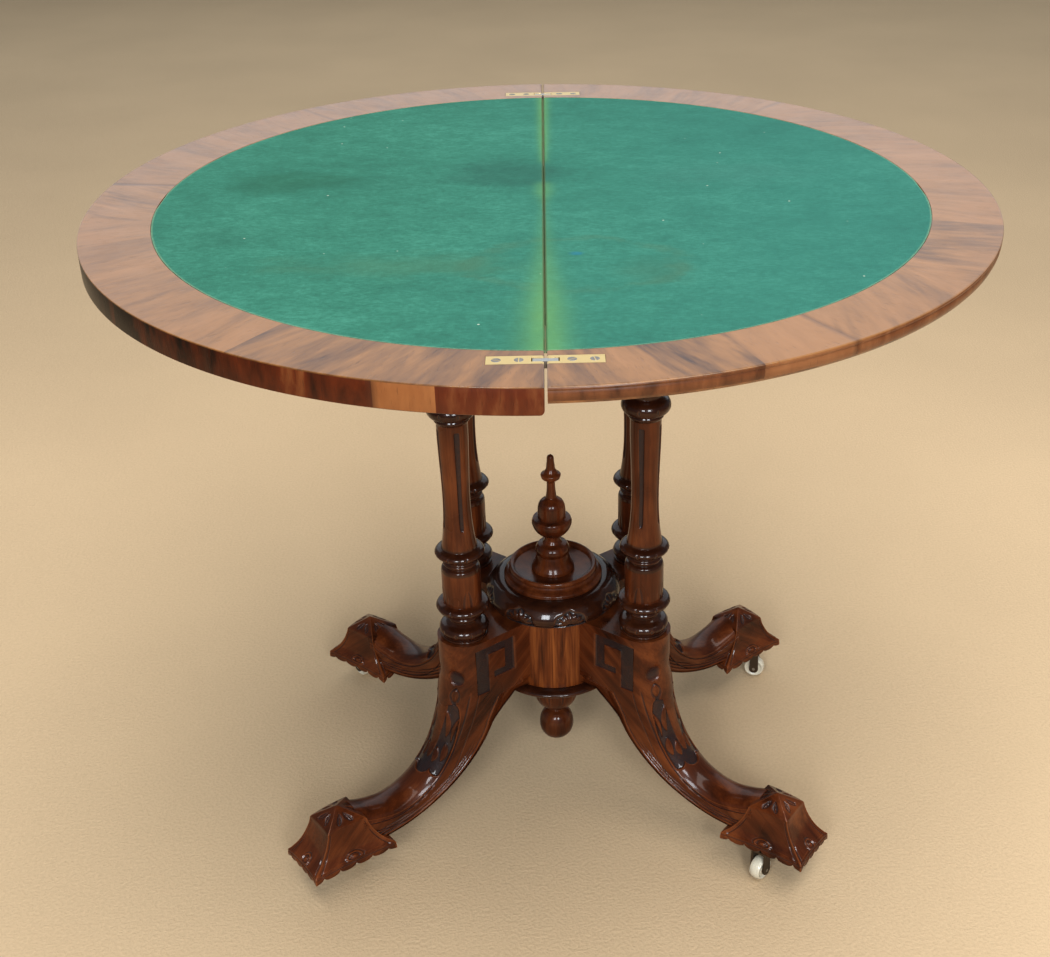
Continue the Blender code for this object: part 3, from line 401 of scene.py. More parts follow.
class CardTableStage(bpy.types.PropertyGroup):
    """The camera and the lights."""

    camera_place: FloatVectorProperty(
        name="Camera", description="Where the camera stands", default=(0.0063, -1.4124, 1.1972),
        subtype="XYZ", unit="LENGTH",
    )
    camera_pitch: angle_property("Pitch", "How far the camera looks down", 0.5086)
    camera_roll: angle_property("Roll", "The tilt of the camera", -0.0082)
    camera_yaw: angle_property("Yaw", "The turn of the camera", 0.0294)
    window_light: power_property("Window light", "Power of each window light", 58.0)
    ceiling_light: power_property("Ceiling light", "Power of the light overhead", 120.0)
    wall_light: power_property("Wall light", "Power of the pale wall behind", 70.0)


class Reading:
    """A value in a finish. Arithmetic on it adds Math nodes."""

    def __init__(self, finish, socket):
        self.finish = finish
        self.socket = socket

    def maths(self, operation, *others):
        return self.finish.add("ShaderNodeMath", {"operation": operation}, dict(enumerate((self, *others))))

    def reflected(self, operation, other):
        return self.finish.add("ShaderNodeMath", {"operation": operation}, {0: other, 1: self})

    def __add__(self, other):
        return self.maths("ADD", other)

    def __radd__(self, other):
        return self.reflected("ADD", other)

    def __sub__(self, other):
        return self.maths("SUBTRACT", other)

    def __rsub__(self, other):
        return self.reflected("SUBTRACT", other)

    def __mul__(self, other):
        return self.maths("MULTIPLY", other)

    def __rmul__(self, other):
        return self.reflected("MULTIPLY", other)

    def __truediv__(self, other):
        return self.maths("DIVIDE", other)

    def __neg__(self):
        return self.maths("MULTIPLY", -1.0)

    def above(self, low, high):
        """From 0 at the low value to 1 at the high one, smoothly."""
        settings = {"interpolation_type": "SMOOTHSTEP"}
        sockets = {"Value": self, "From Min": low, "From Max": high}
        return self.finish.add("ShaderNodeMapRange", settings, sockets)


# The sockets of a Mix node that mixes colours
FACTOR, FIRST_COLOUR, SECOND_COLOUR, MIXED_COLOUR = 0, 6, 7, 2


class Finish:
    """A material being mixed."""

    def __init__(self, name):
        self.material = bpy.data.materials.new(name)
        self.material.use_nodes = True
        self.tree = self.material.node_tree
        self.tree.nodes.clear()

    def add(self, kind, settings, sockets, output=0):
        """Adds a node: first its settings, then the values or links of its sockets."""
        node = self.tree.nodes.new(kind)
        for key, value in settings.items():
            if key == "stops":
                self.set_stops(node.color_ramp.elements, value)
            elif key == "interpolation":
                node.color_ramp.interpolation = value
            else:
                setattr(node, key, value)
        for key, value in sockets.items():
            if isinstance(value, Reading):
                self.tree.links.new(value.socket, node.inputs[key])
            else:
                node.inputs[key].default_value = value
        return Reading(self, node.outputs[output]) if node.outputs else None

    def set_stops(self, elements, stops):
        while len(elements) > 1:
            elements.remove(elements[-1])
        elements[0].position, elements[0].color = stops[0]
        for position, colour in stops[1:]:
            elements.new(position).color = colour

    def attribute(self, name, output):
        return self.add("ShaderNodeAttribute", {"attribute_name": name}, {}, output)

    def place(self):
        return self.add("ShaderNodeTexCoord", {}, {}, "Object")

    def pointiness(self):
        """Over a half at the arrises of a piece and under a half in its hollows."""
        return self.add("ShaderNodeNewGeometry", {}, {}, "Pointiness")

    def stretched(self, vector, amounts):
        return self.add("ShaderNodeVectorMath", {"operation": "MULTIPLY"}, {0: vector, 1: amounts})

    def parts(self, vector):
        node = self.add("ShaderNodeSeparateXYZ", {}, {0: vector}).socket.node
        return [Reading(self, socket) for socket in node.outputs]

    def joined(self, x, y, z):
        return self.add("ShaderNodeCombineXYZ", {}, {0: x, 1: y, 2: z})

    def noise(self, vector, scale, detail=3.0, roughness=0.5, distortion=0.0):
        sockets = {"Vector": vector, "Scale": scale, "Detail": detail, "Roughness": roughness}
        return self.add("ShaderNodeTexNoise", {}, {**sockets, "Distortion": distortion})

    def cells(self, vector, scale, feature="F1"):
        return self.add("ShaderNodeTexVoronoi", {"feature": feature}, {"Vector": vector, "Scale": scale})

    def ramp(self, factor, stops, interpolation="LINEAR"):
        stops = [(position, opaque(colour)) for position, colour in stops]
        return self.add("ShaderNodeValToRGB", {"interpolation": interpolation, "stops": stops}, {0: factor})

    def blend(self, factor, first, second):
        settings = {"data_type": "RGBA", "blend_type": "MIX", "clamp_factor": True}
        colours = [value if isinstance(value, Reading) else opaque(value) for value in (first, second)]
        sockets = {FACTOR: factor, FIRST_COLOUR: colours[0], SECOND_COLOUR: colours[1]}
        return self.add("ShaderNodeMix", settings, sockets, MIXED_COLOUR)

    def bump(self, height, distance, strength=1.0):
        return self.add("ShaderNodeBump", {}, {"Height": height, "Distance": distance, "Strength": strength})

    def surface(self, sockets):
        """Ends the finish in a Principled shader and gives the material."""
        shader = self.add("ShaderNodeBsdfPrincipled", {}, sockets)
        self.add("ShaderNodeOutputMaterial", {}, {0: shader})
        return self.material


def opaque(colour):
    return (*colour[:3], 1.0)


def length_of(x, y):
    return (x * x + y * y).maths("SQRT")


def polished_walnut(name, deep, middle, light):
    """French-polished walnut: faint streaks, black-stained rings, rubbed edges, painted shade and grime in
    the carving, painted shade in hollows, and painted highlights on raised work.
    """
    mix = Finish(name)
    grain = mix.attribute("grain", "Vector")
    carved = mix.attribute("carved", "Fac")
    stained = mix.attribute("stained", "Fac")
    sunk = carved.above(0.04, 0.85)
    raised = (-carved).above(0.05, 0.8)
    streaks = mix.noise(mix.stretched(grain, (1, 1, 0.06)), 62.0, 4.0, 0.58, 0.3)
    fine = mix.noise(mix.stretched(grain, (1, 1, 0.03)), 430.0, 2.0)
    cloud = mix.noise(grain, 15.0, 2.0)
    pores = mix.noise(mix.stretched(grain, (1, 1, 0.045)), 900.0, 1.0).above(0.62, 0.74)
    figure = streaks * 0.45 + fine * 0.12 + cloud * 0.43
    colour = mix.ramp(figure, [(0.34, deep), (0.50, middle), (0.68, light)])
    colour = mix.blend(pores * 0.35, colour, deep)
    black = (0.010, 0.005, 0.004)
    colour = mix.blend(stained * (0.50 + 0.55 * cloud), colour, black)
    edges = mix.pointiness()
    rubbed = edges.above(0.52, 0.57) * mix.noise(grain, 60.0).above(0.35, 0.6)
    # Rubbed wear on the arrises, and a painted highlight on raised carving and beads.
    colour = mix.blend(rubbed * 0.35 + raised * 0.75, colour, light)
    # Painted shade: the hollows of a piece are darkened towards black.
    hollow = 1.0 - edges.above(0.42, 0.49)
    colour = mix.blend(hollow * 0.55, colour, black)
    # Painted shade and grime: sunk carving is darkened, mottled by noise.
    grime = sunk * (0.55 + 0.55 * mix.noise(grain, 240.0, 3.0))
    colour = mix.blend(grime, colour, (0.022, 0.016, 0.017))
    # Painted highlight: a thin light line round the edges of the cuts.
    rim = 1.0 - (carved - 0.20).maths("ABSOLUTE").above(0.04, 0.15)
    colour = mix.blend(rim * 0.28, colour, light)
    stipple = mix.cells(grain, 620.0) * sunk
    knocks = mix.noise(grain, 120.0, 4.0, 0.6) * stained
    height = streaks * 0.12 - pores * 0.3 + stipple * 1.6
    height = height + mix.noise(grain, 300.0, 2.0) * 0.15 + knocks * 1.4
    return mix.surface({
        "Base Color": colour,
        "Roughness": 0.22 + 0.14 * cloud + 0.10 * sunk,
        "Specular IOR Level": 0.12,
        "Coat Weight": 0.30 + 0.35 * stained + 0.15 * sunk,
        "Coat Roughness": 0.08,
        "Normal": mix.bump(height, 0.0003, 0.7),
    })


def drum_walnut(name, deep, middle, light):
    """Straight-striped orange walnut of the drum."""
    mix = Finish(name)
    grain = mix.attribute("grain", "Vector")
    stripes = mix.noise(mix.stretched(grain, (1, 1, 0.07)), 85.0, 4.0, 0.6, 0.9)
    fine = mix.noise(mix.stretched(grain, (1, 1, 0.03)), 700.0, 2.0)
    colour = mix.ramp(stripes * 0.8 + fine * 0.2, [(0.33, deep), (0.47, middle), (0.64, light)])
    return mix.surface({
        "Base Color": colour,
        "Roughness": 0.26 + 0.2 * fine,
        "Specular IOR Level": 0.15,
        "Coat Weight": 0.2,
        "Coat Roughness": 0.12,
        "Normal": mix.bump(stripes * 0.3 + fine * 0.2, 0.0003),
    })


def segment_ramp(segments):
    """The stops of a border: where each veneer starts, with its tone, contrast and offset as a colour."""
    stops, start = [], 0.0
    for number, (end, tone, contrast) in enumerate(segments):
        stops.append((start, (tone, contrast, (0.37 * number + 0.11) % 1.0)))
        start = end
    return stops


def joint_stops(shares, half_width):
    stops = [(0.0, (0, 0, 0))]
    for share in shares:
        stops += [(share - half_width, (0, 0, 0)), (share, (1, 1, 1)), (share + half_width, (0, 0, 0))]
    return stops


# Each veneer of a border, anticlockwise seen from above: where it ends in degrees, its tone and its streaks
UPPER_BANDING = (
    (-68.3, 0.42, 0.95), (-57.0, 0.66, 0.30), (-35.4, 0.54, 0.60), (-15.0, 0.46, 0.80), (20.0, 0.58, 0.50),
    (50.0, 0.52, 0.50), (90.0, 0.50, 0.45),
)
LOWER_BANDING = (
    (-50.0, 0.50, 0.40), (-7.7, 0.50, 0.45), (8.2, 0.50, 0.85), (55.7, 0.52, 0.55), (90.0, 0.40, 0.75),
)
LOWER_EDGE_BANDING = (
    (-30.0, 0.36, 0.5), (14.0, 0.24, 0.7), (44.0, 0.14, 0.9), (53.5, 0.30, 0.7), (73.1, 0.40, 0.7),
    (78.9, 0.84, 0.20), (90.0, 0.54, 0.5),
)
LOWER_EDGE_COLOURS = ((0.006, 0.002, 0.001), (0.100, 0.020, 0.005), (0.280, 0.112, 0.038))
UPPER_EDGE_COLOURS = ((0.040, 0.014, 0.007), (0.170, 0.062, 0.024), (0.340, 0.160, 0.070))
SHUT_TOP_COLOURS = ((0.045, 0.017, 0.008), (0.165, 0.066, 0.024), (0.330, 0.155, 0.060))
VENEER_TONES = (0.16, 0.52, 0.88)
BORDER_MIDDLE_RADIUS = 0.42
JOINT_SHARE = 0.0009


def banded_tone(mix, share, banding, arc, radius, spread, slant):
    """The light and dark of a run of short veneers, and the joints between them."""
    shares = [((end + 90) / 180, tone, contrast) for end, tone, contrast in banding]
    segment = mix.ramp(share, segment_ramp(shares), "CONSTANT")
    tone, contrast, offset = mix.parts(segment)
    joints = mix.ramp(share, joint_stops([item[0] for item in shares[:-1]], JOINT_SHARE))
    lines = mix.joined(arc + radius * slant * (offset - 0.35), radius * spread, offset * 9.0)
    broad = mix.noise(lines, 34.0, 3.0, 0.5, 0.9)
    narrow = mix.noise(lines, 150.0, 3.0, 0.55, 0.3)
    figure = tone + (broad - 0.5) * contrast * 1.15 + (narrow - 0.5) * (contrast * 0.40 + 0.10)
    return figure, mix.parts(joints)[0]


def crossbanded_veneer(name, colours, side, banding, edge_banding, edge_colours, top_radius):
    """Figured walnut in short lengths whose grain runs outward, with a run of its own round the edge."""
    mix = Finish(name)
    x, y, z = mix.parts(mix.place())
    x, y = x * side, y * side
    turn = y.maths("ARCTAN2", x)
    radius = length_of(x, y)
    share = turn / pi + 0.5
    arc = turn * BORDER_MIDDLE_RADIUS
    top_figure, top_joints = banded_tone(mix, share, banding, arc, radius, 0.20, 1.1)
    edge_figure, edge_joints = banded_tone(mix, share, edge_banding, arc, z, 0.30, 0.0)
    depth = TOP_HEIGHT - z
    on_edge = depth.above(0.0004, 0.0014) * radius.above(top_radius - 0.012, top_radius - 0.008)
    joints = top_joints * (1.0 - on_edge) + edge_joints * on_edge
    lines = mix.joined(arc, radius * 0.12, z * 0.12)
    pores = mix.noise(lines, 820.0, 1.0).above(0.62, 0.76)
    top_colours = (colours.veneer_deep, colours.veneer_middle, colours.veneer_light)
    top_colour = mix.ramp(top_figure, list(zip(VENEER_TONES, top_colours)))
    edge_colour = mix.ramp(edge_figure, list(zip(VENEER_TONES, edge_colours)))
    colour = mix.blend(on_edge, top_colour, edge_colour)
    colour = mix.blend(pores * 0.25, colour, edge_colours[0])
    colour = mix.blend(joints * 0.75, colour, (0.05, 0.02, 0.01))
    place = mix.place()
    stains = mix.noise(place, 9.0, 4.0, 0.65).above(0.60, 0.78)
    colour = mix.blend(stains * 0.22, colour, colours.veneer_deep)
    edges = mix.pointiness().above(0.53, 0.60)
    colour = mix.blend(edges * 0.25, colour, colours.veneer_deep)
    scuffs = mix.noise(place, 26.0, 5.0, 0.7)
    height = pores * -0.5 + joints * -1.2 + scuffs * 0.25 + mix.noise(lines, 300.0, 2.0) * 0.3
    return mix.surface({
        "Base Color": colour,
        "Roughness": 0.24 + 0.20 * scuffs,
        "Specular IOR Level": 0.25,
        "Coat Weight": 0.52 - 0.34 * on_edge,
        "Coat Roughness": 0.16,
        "Normal": mix.bump(height, 0.00022, 0.8),
    })


def board_wood(name, deep, light, axis, roughness):
    """Plain sawn wood for what is out of sight, with its grain along one axis."""
    mix = Finish(name)
    stretch = [1.0, 1.0, 1.0]
    stretch[axis] = 0.05
    place = mix.place()
    along = mix.stretched(place, tuple(stretch))
    streaks = mix.noise(along, 60.0, 4.0, 0.6, 0.8)
    fibres = mix.noise(along, 520.0, 2.0)
    dirt = mix.noise(place, 12.0, 4.0, 0.6)
    colour = mix.ramp(streaks * 0.7 + fibres * 0.3, [(0.35, deep), (0.68, light)])
    colour = mix.blend(dirt.above(0.45, 0.75) * 0.45, colour, deep)
    edges = mix.pointiness().above(0.52, 0.58)
    colour = mix.blend(edges * 0.3, colour, light)
    return mix.surface({
        "Base Color": colour,
        "Roughness": roughness + 0.2 * fibres,
        "Normal": mix.bump(streaks * 0.4 + fibres * 0.5, 0.0006),
    })


def matched_veneer(name, deep, middle, light):
    """Polished figured walnut on the face that shows when the table is shut, its two halves mirrored."""
    mix = Finish(name)
    place = mix.place()
    x, y, _ = mix.parts(place)
    aside = y.maths("ABSOLUTE")
    leaning = mix.joined(x * 0.9 + aside * 0.35, aside * 0.22 - x * 0.10, 0.3)
    broad = mix.noise(leaning, 22.0, 4.0, 0.55, 1.1)
    streaks = mix.noise(leaning, 95.0, 3.0, 0.6, 0.5)
    pores = mix.noise(leaning, 820.0, 1.0).above(0.60, 0.75)
    colour = mix.ramp(broad * 0.65 + streaks * 0.35, [(0.34, deep), (0.50, middle), (0.66, light)])
    colour = mix.blend(pores * 0.3, colour, deep)
    joint = 1.0 - aside.above(0.0002, 0.0007)
    colour = mix.blend(joint * 0.6, colour, (0.03, 0.012, 0.006))
    scuffs = mix.noise(place, 24.0, 5.0, 0.7)
    return mix.surface({
        "Base Color": colour,
        "Roughness": 0.22 + 0.20 * scuffs,
        "Specular IOR Level": 0.25,
        "Coat Weight": 0.5,
        "Coat Roughness": 0.14,
        "Normal": mix.bump(pores * -0.5 + joint * -1.0 + scuffs * 0.25, 0.0002, 0.8),
    })


# Each stain of the baize: its place, half width and depth, strength and colour
STAINS = (
    (-0.262, 0.055, 0.075, 0.055, 0.40, (0.012, 0.060, 0.030)),
    (-0.035, 0.075, 0.090, 0.070, 0.42, (0.013, 0.050, 0.042)),
    (-0.190, 0.040, 0.130, 0.040, 0.25, (0.012, 0.065, 0.045)),
    (-0.130, -0.190, 0.150, 0.040, 0.30, (0.060, 0.120, 0.065)),
    (0.100, -0.215, 0.050, 0.045, 0.30, (0.035, 0.080, 0.050)),
    (-0.300, -0.110, 0.060, 0.060, 0.25, (0.016, 0.070, 0.050)),
    (0.030, -0.170, 0.009, 0.007, 0.60, (0.012, 0.120, 0.200)),
    (0.200, 0.060, 0.120, 0.060, 0.14, (0.060, 0.150, 0.130)),
)
# The rim of a dried spill: its place, and its half width and depth
SPILL = (0.030, -0.195, 0.092, 0.066)
# The rubbed stripe from the front to the back: place along the fold, strength and half width
STRIPE = (
    (-0.383, 0.66, 0.0190), (-0.300, 0.60, 0.0180), (-0.220, 0.42, 0.0130), (-0.140, 0.26, 0.0085),
    (-0.040, 0.18, 0.0055), (-0.015, 0.24, 0.0070), (0.010, 0.50, 0.0090), (0.035, 0.42, 0.0085),
    (0.050, 0.05, 0.0060), (0.105, 0.05, 0.0060), (0.125, 0.50, 0.0050), (0.200, 0.62, 0.0065),
    (0.383, 0.62, 0.0075),
)
# What brings the stripe's places and widths into a ramp's range
STRIPE_HALF_LENGTH = 0.4
STRIPE_WIDTH_SCALE = 40.0


def fold_stripe(mix, x, y):
    """How far the nap is rubbed away beside the fold, and how bare its very line is."""
    half, scale = STRIPE_HALF_LENGTH, STRIPE_WIDTH_SCALE
    stops = []
    for along, strength, width in STRIPE:
        stops.append(((along + half) / (2 * half), (strength, width * scale, 0.0)))
    strength, width, _ = mix.parts(mix.ramp((y + half) / (2 * half), stops))
    mottle = mix.noise(mix.joined(x, y * 0.35, 0.0), 60.0, 4.0, 0.6)
    share = x.maths("ABSOLUTE") / (width / scale) * (0.75 + 0.5 * mottle)
    rubbed = (-(share * share)).maths("EXPONENT")
    line = (1.0 - x.maths("ABSOLUTE").above(0.0006, 0.0026)) * mottle.above(0.15, 0.5)
    return rubbed * strength * (0.55 + 0.9 * mottle), line


def from_stain(x, y, x_place, y_place, half_width, half_depth):
    """The way from a stain's middle, where 1 is its edge."""
    return length_of((x - x_place) / half_width, (y - y_place) / half_depth)


def worn_baize(name, green, worn, cut_radius):
    """Napped green cloth, yellowed and rubbed along the fold, stained, and frayed pale where it is cut."""
    mix = Finish(name)
    place = mix.place()
    x, y, _ = mix.parts(place)
    fibres = mix.noise(place, 1300.0, 2.0, 0.7)
    nap = mix.noise(mix.stretched(place, (0.6, 1, 1)), 330.0, 3.0, 0.65)
    cloud = mix.noise(place, 7.0, 4.0, 0.6)
    mottle = mix.noise(mix.stretched(place, (0.6, 1, 1)), 52.0, 4.0, 0.62)
    shade = [channel * 0.70 for channel in green]
    pale = [min(1.0, channel * 1.38 + 0.012) for channel in green]
    figure = nap * 0.36 + fibres * 0.16 + cloud * 0.24 + mottle * 0.24
    colour = mix.ramp(figure, [(0.36, shade), (0.50, green), (0.64, pale)])
    bluer = (green[0] * 0.9, green[1] * 1.02, green[2] * 1.35)
    colour = mix.blend(x.above(-0.25, 0.35) * 0.35, colour, bluer)
    smears = mix.noise(mix.stretched(place, (0.7, 1.2, 1)), 26.0, 4.0, 0.62)
    for *stain, strength, tint in STAINS:
        spread = from_stain(x, y, *stain) + (smears - 0.5) * 1.6
        colour = mix.blend((1.0 - spread.above(0.15, 1.0)) * strength, colour, tint)
    tide = (from_stain(x, y, *SPILL) + (smears - 0.5) * 0.7 - 1.0).maths("ABSOLUTE")
    rim = (1.0 - tide.above(0.02, 0.16)) * mottle.above(0.35, 0.6) * 0.26
    colour = mix.blend(rim, colour, (0.055, 0.085, 0.045))
    rubbed, line = fold_stripe(mix, x, y)
    colour = mix.blend(rubbed, colour, worn)
    colour = mix.blend(line * 0.8, colour, (0.085, 0.085, 0.030))
    fray = length_of(x, y).above(cut_radius - 0.0024, cut_radius - 0.0006) * fibres.above(0.35, 0.6)
    colour = mix.blend(fray * 0.55, colour, (0.25, 0.32, 0.20))
    lint = mix.cells(place, 34.0).above(0.045, 0.025) * mix.noise(place, 17.0).above(0.48, 0.53)
    colour = mix.blend(lint * 0.8, colour, (0.45, 0.47, 0.38))
    specks = mix.cells(place, 46.0).above(0.06, 0.03) * mix.noise(place, 21.0).above(0.55, 0.62)
    colour = mix.blend(specks * 0.5, colour, (0.015, 0.05, 0.04))
    return mix.surface({
        "Base Color": colour,
        "Roughness": 0.93,
        "Specular IOR Level": 0.25,
        "Sheen Weight": 0.12,
        "Sheen Roughness": 0.5,
        "Sheen Tint": opaque([min(1.0, channel * 3.5) for channel in green]),
        "Normal": mix.bump(nap * 0.6 + fibres, 0.0006, 1.0),
    })


def aged_metal(name, bright, tarnish, roughness, cover=0.55):
    """Metal with a worn shine and tarnish in patches."""
    mix = Finish(name)
    place = mix.place()
    patches = mix.noise(place, 130.0, 5.0, 0.65)
    fine = mix.noise(place, 1400.0, 2.0)
    scratches = mix.noise(mix.stretched(place, (0.1, 1, 1)), 1800.0, 2.0)
    edges = mix.pointiness().above(0.51, 0.57)
    dull = patches.above(0.42, 0.62) * cover * (1.0 - edges)
    colour = mix.blend(dull, bright, tarnish)
    return mix.surface({
        "Base Color": colour,
        "Metallic": 1.0 - 0.5 * dull,
        "Roughness": roughness + 0.3 * dull + 0.1 * fine,
        "Normal": mix.bump(patches * 0.4 + fine * 0.3 + scratches * 0.3, 0.00018),
    })


def glazed_ceramic(name, glaze, boss):
    """Off-white glazed ware with fine crazing, browned at the middle by the axle."""
    mix = Finish(name)
    sunk = mix.attribute("carved", "Fac")
    grain = mix.attribute("grain", "Vector")
    crazing = 1.0 - mix.cells(grain, 420.0, "DISTANCE_TO_EDGE").above(0.0, 0.05)
    grime = mix.noise(grain, 160.0, 4.0, 0.6)
    colour = mix.blend(crazing * 0.35 + grime.above(0.5, 0.75) * 0.3, glaze, (0.32, 0.25, 0.17))
    colour = mix.blend(sunk, colour, boss)
    return mix.surface({
        "Base Color": colour,
        "Roughness": 0.12 + 0.25 * grime,
        "Coat Weight": 0.4,
        "Normal": mix.bump(grime * 0.4 - crazing * 0.3, 0.0002),
    })


def floor_finish(name, colour):
    """A short pale pile, a little darker in patches."""
    mix = Finish(name)
    place = mix.place()
    cloud = mix.noise(place, 2.2, 3.0)
    fine = mix.noise(place, 260.0, 3.0, 0.6)
    darker = [channel * 0.9 for channel in colour]
    return mix.surface({
        "Base Color": mix.ramp(cloud * 0.4 + fine * 0.6, [(0.38, darker), (0.62, colour)]),
        "Roughness": 0.9,
        "Normal": mix.bump(fine, 0.0012),
    })


def hermite(knots, points, places):
    """A smooth curve through points at their knots, read at other places."""
    slopes = np.gradient(points, knots, axis=0)
    index = np.clip(np.searchsorted(knots, places, side="right") - 1, 0, len(knots) - 2)
    span = (knots[index + 1] - knots[index])[:, None]
    share = (places - knots[index])[:, None] / span
    start = (1 + 2 * share) * (1 - share) ** 2 * points[index]
    start = start + share * (1 - share) ** 2 * span * slopes[index]
    end = share**2 * (3 - 2 * share) * points[index + 1]
    end = end + share**2 * (share - 1) * span * slopes[index + 1]
    return start + end


def lengths_along(points):
    steps = np.linalg.norm(np.diff(points, axis=0), axis=1)
    return np.concatenate([[0], np.cumsum(steps)])


def run_of_curve(points, spacing):
    """Points close together on the curve through the given ones."""
    points = np.asarray(points, float)
    knots = lengths_along(points)
    steps = max(2, ceil(knots[-1] / spacing) + 1)
    return hermite(knots, points, np.linspace(0, knots[-1], steps))


def with_corners(marks, spacing, arris=0.0003):
    """A line through marks that end in 1 at a sharp corner, smooth elsewhere, its corners eased a little."""
    marks = np.asarray(marks, float)
    inner = [number for number in range(1, len(marks) - 1) if marks[number, -1] > 0.5]
    ends = [0, *inner, len(marks) - 1]
    runs = []
    for first, last in zip(ends, ends[1:]):
        run = run_of_curve(marks[first : last + 1, :-1], spacing)
        for end, beside in ((0, 1), (-1, -2)):
            step = run[beside] - run[end]
            run[end] = run[end] + step * min(0.4, arris / max(np.linalg.norm(step[:2]), 1e-9))
        runs.append(run)
    return np.concatenate(runs)


def sized(shares, radius, height, foot):
    """Marks in metres, from their shares of a radius and of the height above a foot."""
    return [(share * radius, foot + rise * height, corner) for share, rise, corner in shares]


def shares_outline(shares, sizes, spacing):
    """The outline of a turning in metres, from its shares, closed over its top and under its foot."""
    marks = sized(shares, *sizes)
    marks.insert(0, (marks[0][0] * 0.5, marks[0][1], 1))
    marks.append((marks[-1][0] * 0.5, marks[-1][1], 1))
    return with_corners(marks, spacing)


def linked_object(name, data):
    obj = bpy.data.objects.new(name, data)
    bpy.context.scene.collection.objects.link(obj)
    return obj


def new_piece(name, mesh, finishes, body, slot, *replaced):
    """A visible piece that rides on a body and stands for the solids that it replaces, if any."""
    obj = linked_object(name, mesh)
    for material in finishes:
        mesh.materials.append(material)
    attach(obj, body)
    if replaced:
        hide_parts(*replaced)
    return obj


def mesh_of(name, rows, faces):
    mesh = bpy.data.meshes.new(name)
    mesh.from_pydata(rows.reshape(-1, 3).tolist(), [], faces)
    return mesh


def write_points(mesh, name, kind, values):
    attribute = mesh.attributes.new(name, kind, "POINT")
    key = "vector" if kind == "FLOAT_VECTOR" else "value"
    attribute.data.foreach_set(key, np.ascontiguousarray(values, np.float32).ravel())


def tidy_normals(mesh, sharp=38):
    bm = bmesh.new()
    bm.from_mesh(mesh)
    bmesh.ops.recalc_face_normals(bm, faces=bm.faces)
    bm.to_mesh(mesh)
    bm.free()
    mesh.shade_smooth()
    mesh.set_sharp_from_angle(angle=radians(sharp))


def grid_faces(count, around, wrapped=True):
    """The faces between rows of points, closed round on themselves if wrapped."""
    steps = around if wrapped else around - 1
    row, step = np.meshgrid(np.arange(count - 1), np.arange(steps), indexing="ij")
    after = (step + 1) % around
    here, below = row * around, (row + 1) * around
    corners = (here + step, below + step, below + after, here + after)
    return np.stack(corners, axis=-1).reshape(-1, 4).tolist()


def skinned(name, rows, grain, carved, stained=0.0):
    """A closed mesh through rows of points. Its carved value runs from -1, a painted highlight on raised
    work, to 1, painted shade in sunk work.
    """
    count, around = rows.shape[:2]
    last = (count - 1) * around
    faces = grid_faces(count, around) + [list(range(around)), list(range(last, last + around))]
    mesh = mesh_of(name, rows, faces)
    write_points(mesh, "grain", "FLOAT_VECTOR", grain)
    write_points(mesh, "carved", "FLOAT", carved)
    write_points(mesh, "stained", "FLOAT", np.zeros(rows.shape[:2]) + stained)
    tidy_normals(mesh)
    return mesh


def eased(value, soft):
    """0 outside, 1 inside, with a soft edge of the given width, from a distance that is positive inside."""
    share = np.clip(value / soft + 0.5, 0, 1)
    return share * share * (3 - 2 * share)


def ridge(way, half_width):
    """1 on a line and 0 beyond its half width, with a V section."""
    return np.clip(1 - np.abs(way) / half_width, 0, 1)


def dome(*shares):
    """A rounded section: 1 at the middle, 0 where the shares of its half sizes leave it."""
    inside = 1.0
    for share in shares:
        inside = inside - share**2
    return np.sqrt(np.clip(inside, 0, 1))


def gouge(across, along, half_width, half_length):
    """A leaf-shaped cut with a V section: 1 at its middle line, 0 outside."""
    reach = np.clip(1 - (along / half_length) ** 2, 0, 1)
    return ridge(across, np.maximum(half_width * reach, 1e-6)) * np.minimum(1, reach * 2)


def lens(across, along, half_width, half_length):
    """A leaf shape with a rounded section: 1 along its middle, 0 outside."""
    reach = np.clip(1 - (along / half_length) ** 2, 0, 1)
    return dome(across / np.maximum(half_width * reach, 1e-6)) * np.minimum(1, reach * 3)


def turned_rows(profile, around, relief=None, turn=0.0):
    """Rows of points round a turned outline, with a relief cut square to it."""
    angle = turn + np.arange(around)[None, :] / around * 2 * pi
    run = np.gradient(profile, axis=0)
    run /= np.maximum(np.linalg.norm(run, axis=1, keepdims=True), 1e-9)
    radius, height = profile[:, :1], profile[:, 1:2]
    depth, dark = relief(angle, height, radius) if relief else (0.0, 0.0)
    zero = np.zeros((len(profile), around))
    depth, dark = zero + depth, zero + dark
    radius = radius + run[:, 1:2] * depth
    height = height - run[:, :1] * depth
    rows = np.stack([radius * np.cos(angle), radius * np.sin(angle), height + zero], axis=-1)
    return rows, dark


def turned_mesh(name, profile, around, centre, relief, turn, seed, stain):
    """A turned and carved piece, with its grain along its axis and shifted by its seed."""
    rows, dark = turned_rows(profile, around, relief, turn)
    shift = np.array([0.05 + 0.013 * seed, 0.021 * seed, 0.37 * seed])
    grain = rows + shift
    rows = rows + np.array([centre[0], centre[1], 0.0])
    return skinned(name, rows, grain, dark, stain)


def around_from(angle, centre):
    """The signed turn from a centre line, in radians."""
    return (angle - centre + pi) % (2 * pi) - pi


def from_nearest(angle, count):
    """The signed turn from the nearest of some equally spaced marks, in radians."""
    return ((angle * count / (2 * pi) + 0.5) % 1 - 0.5) * 2 * pi / count


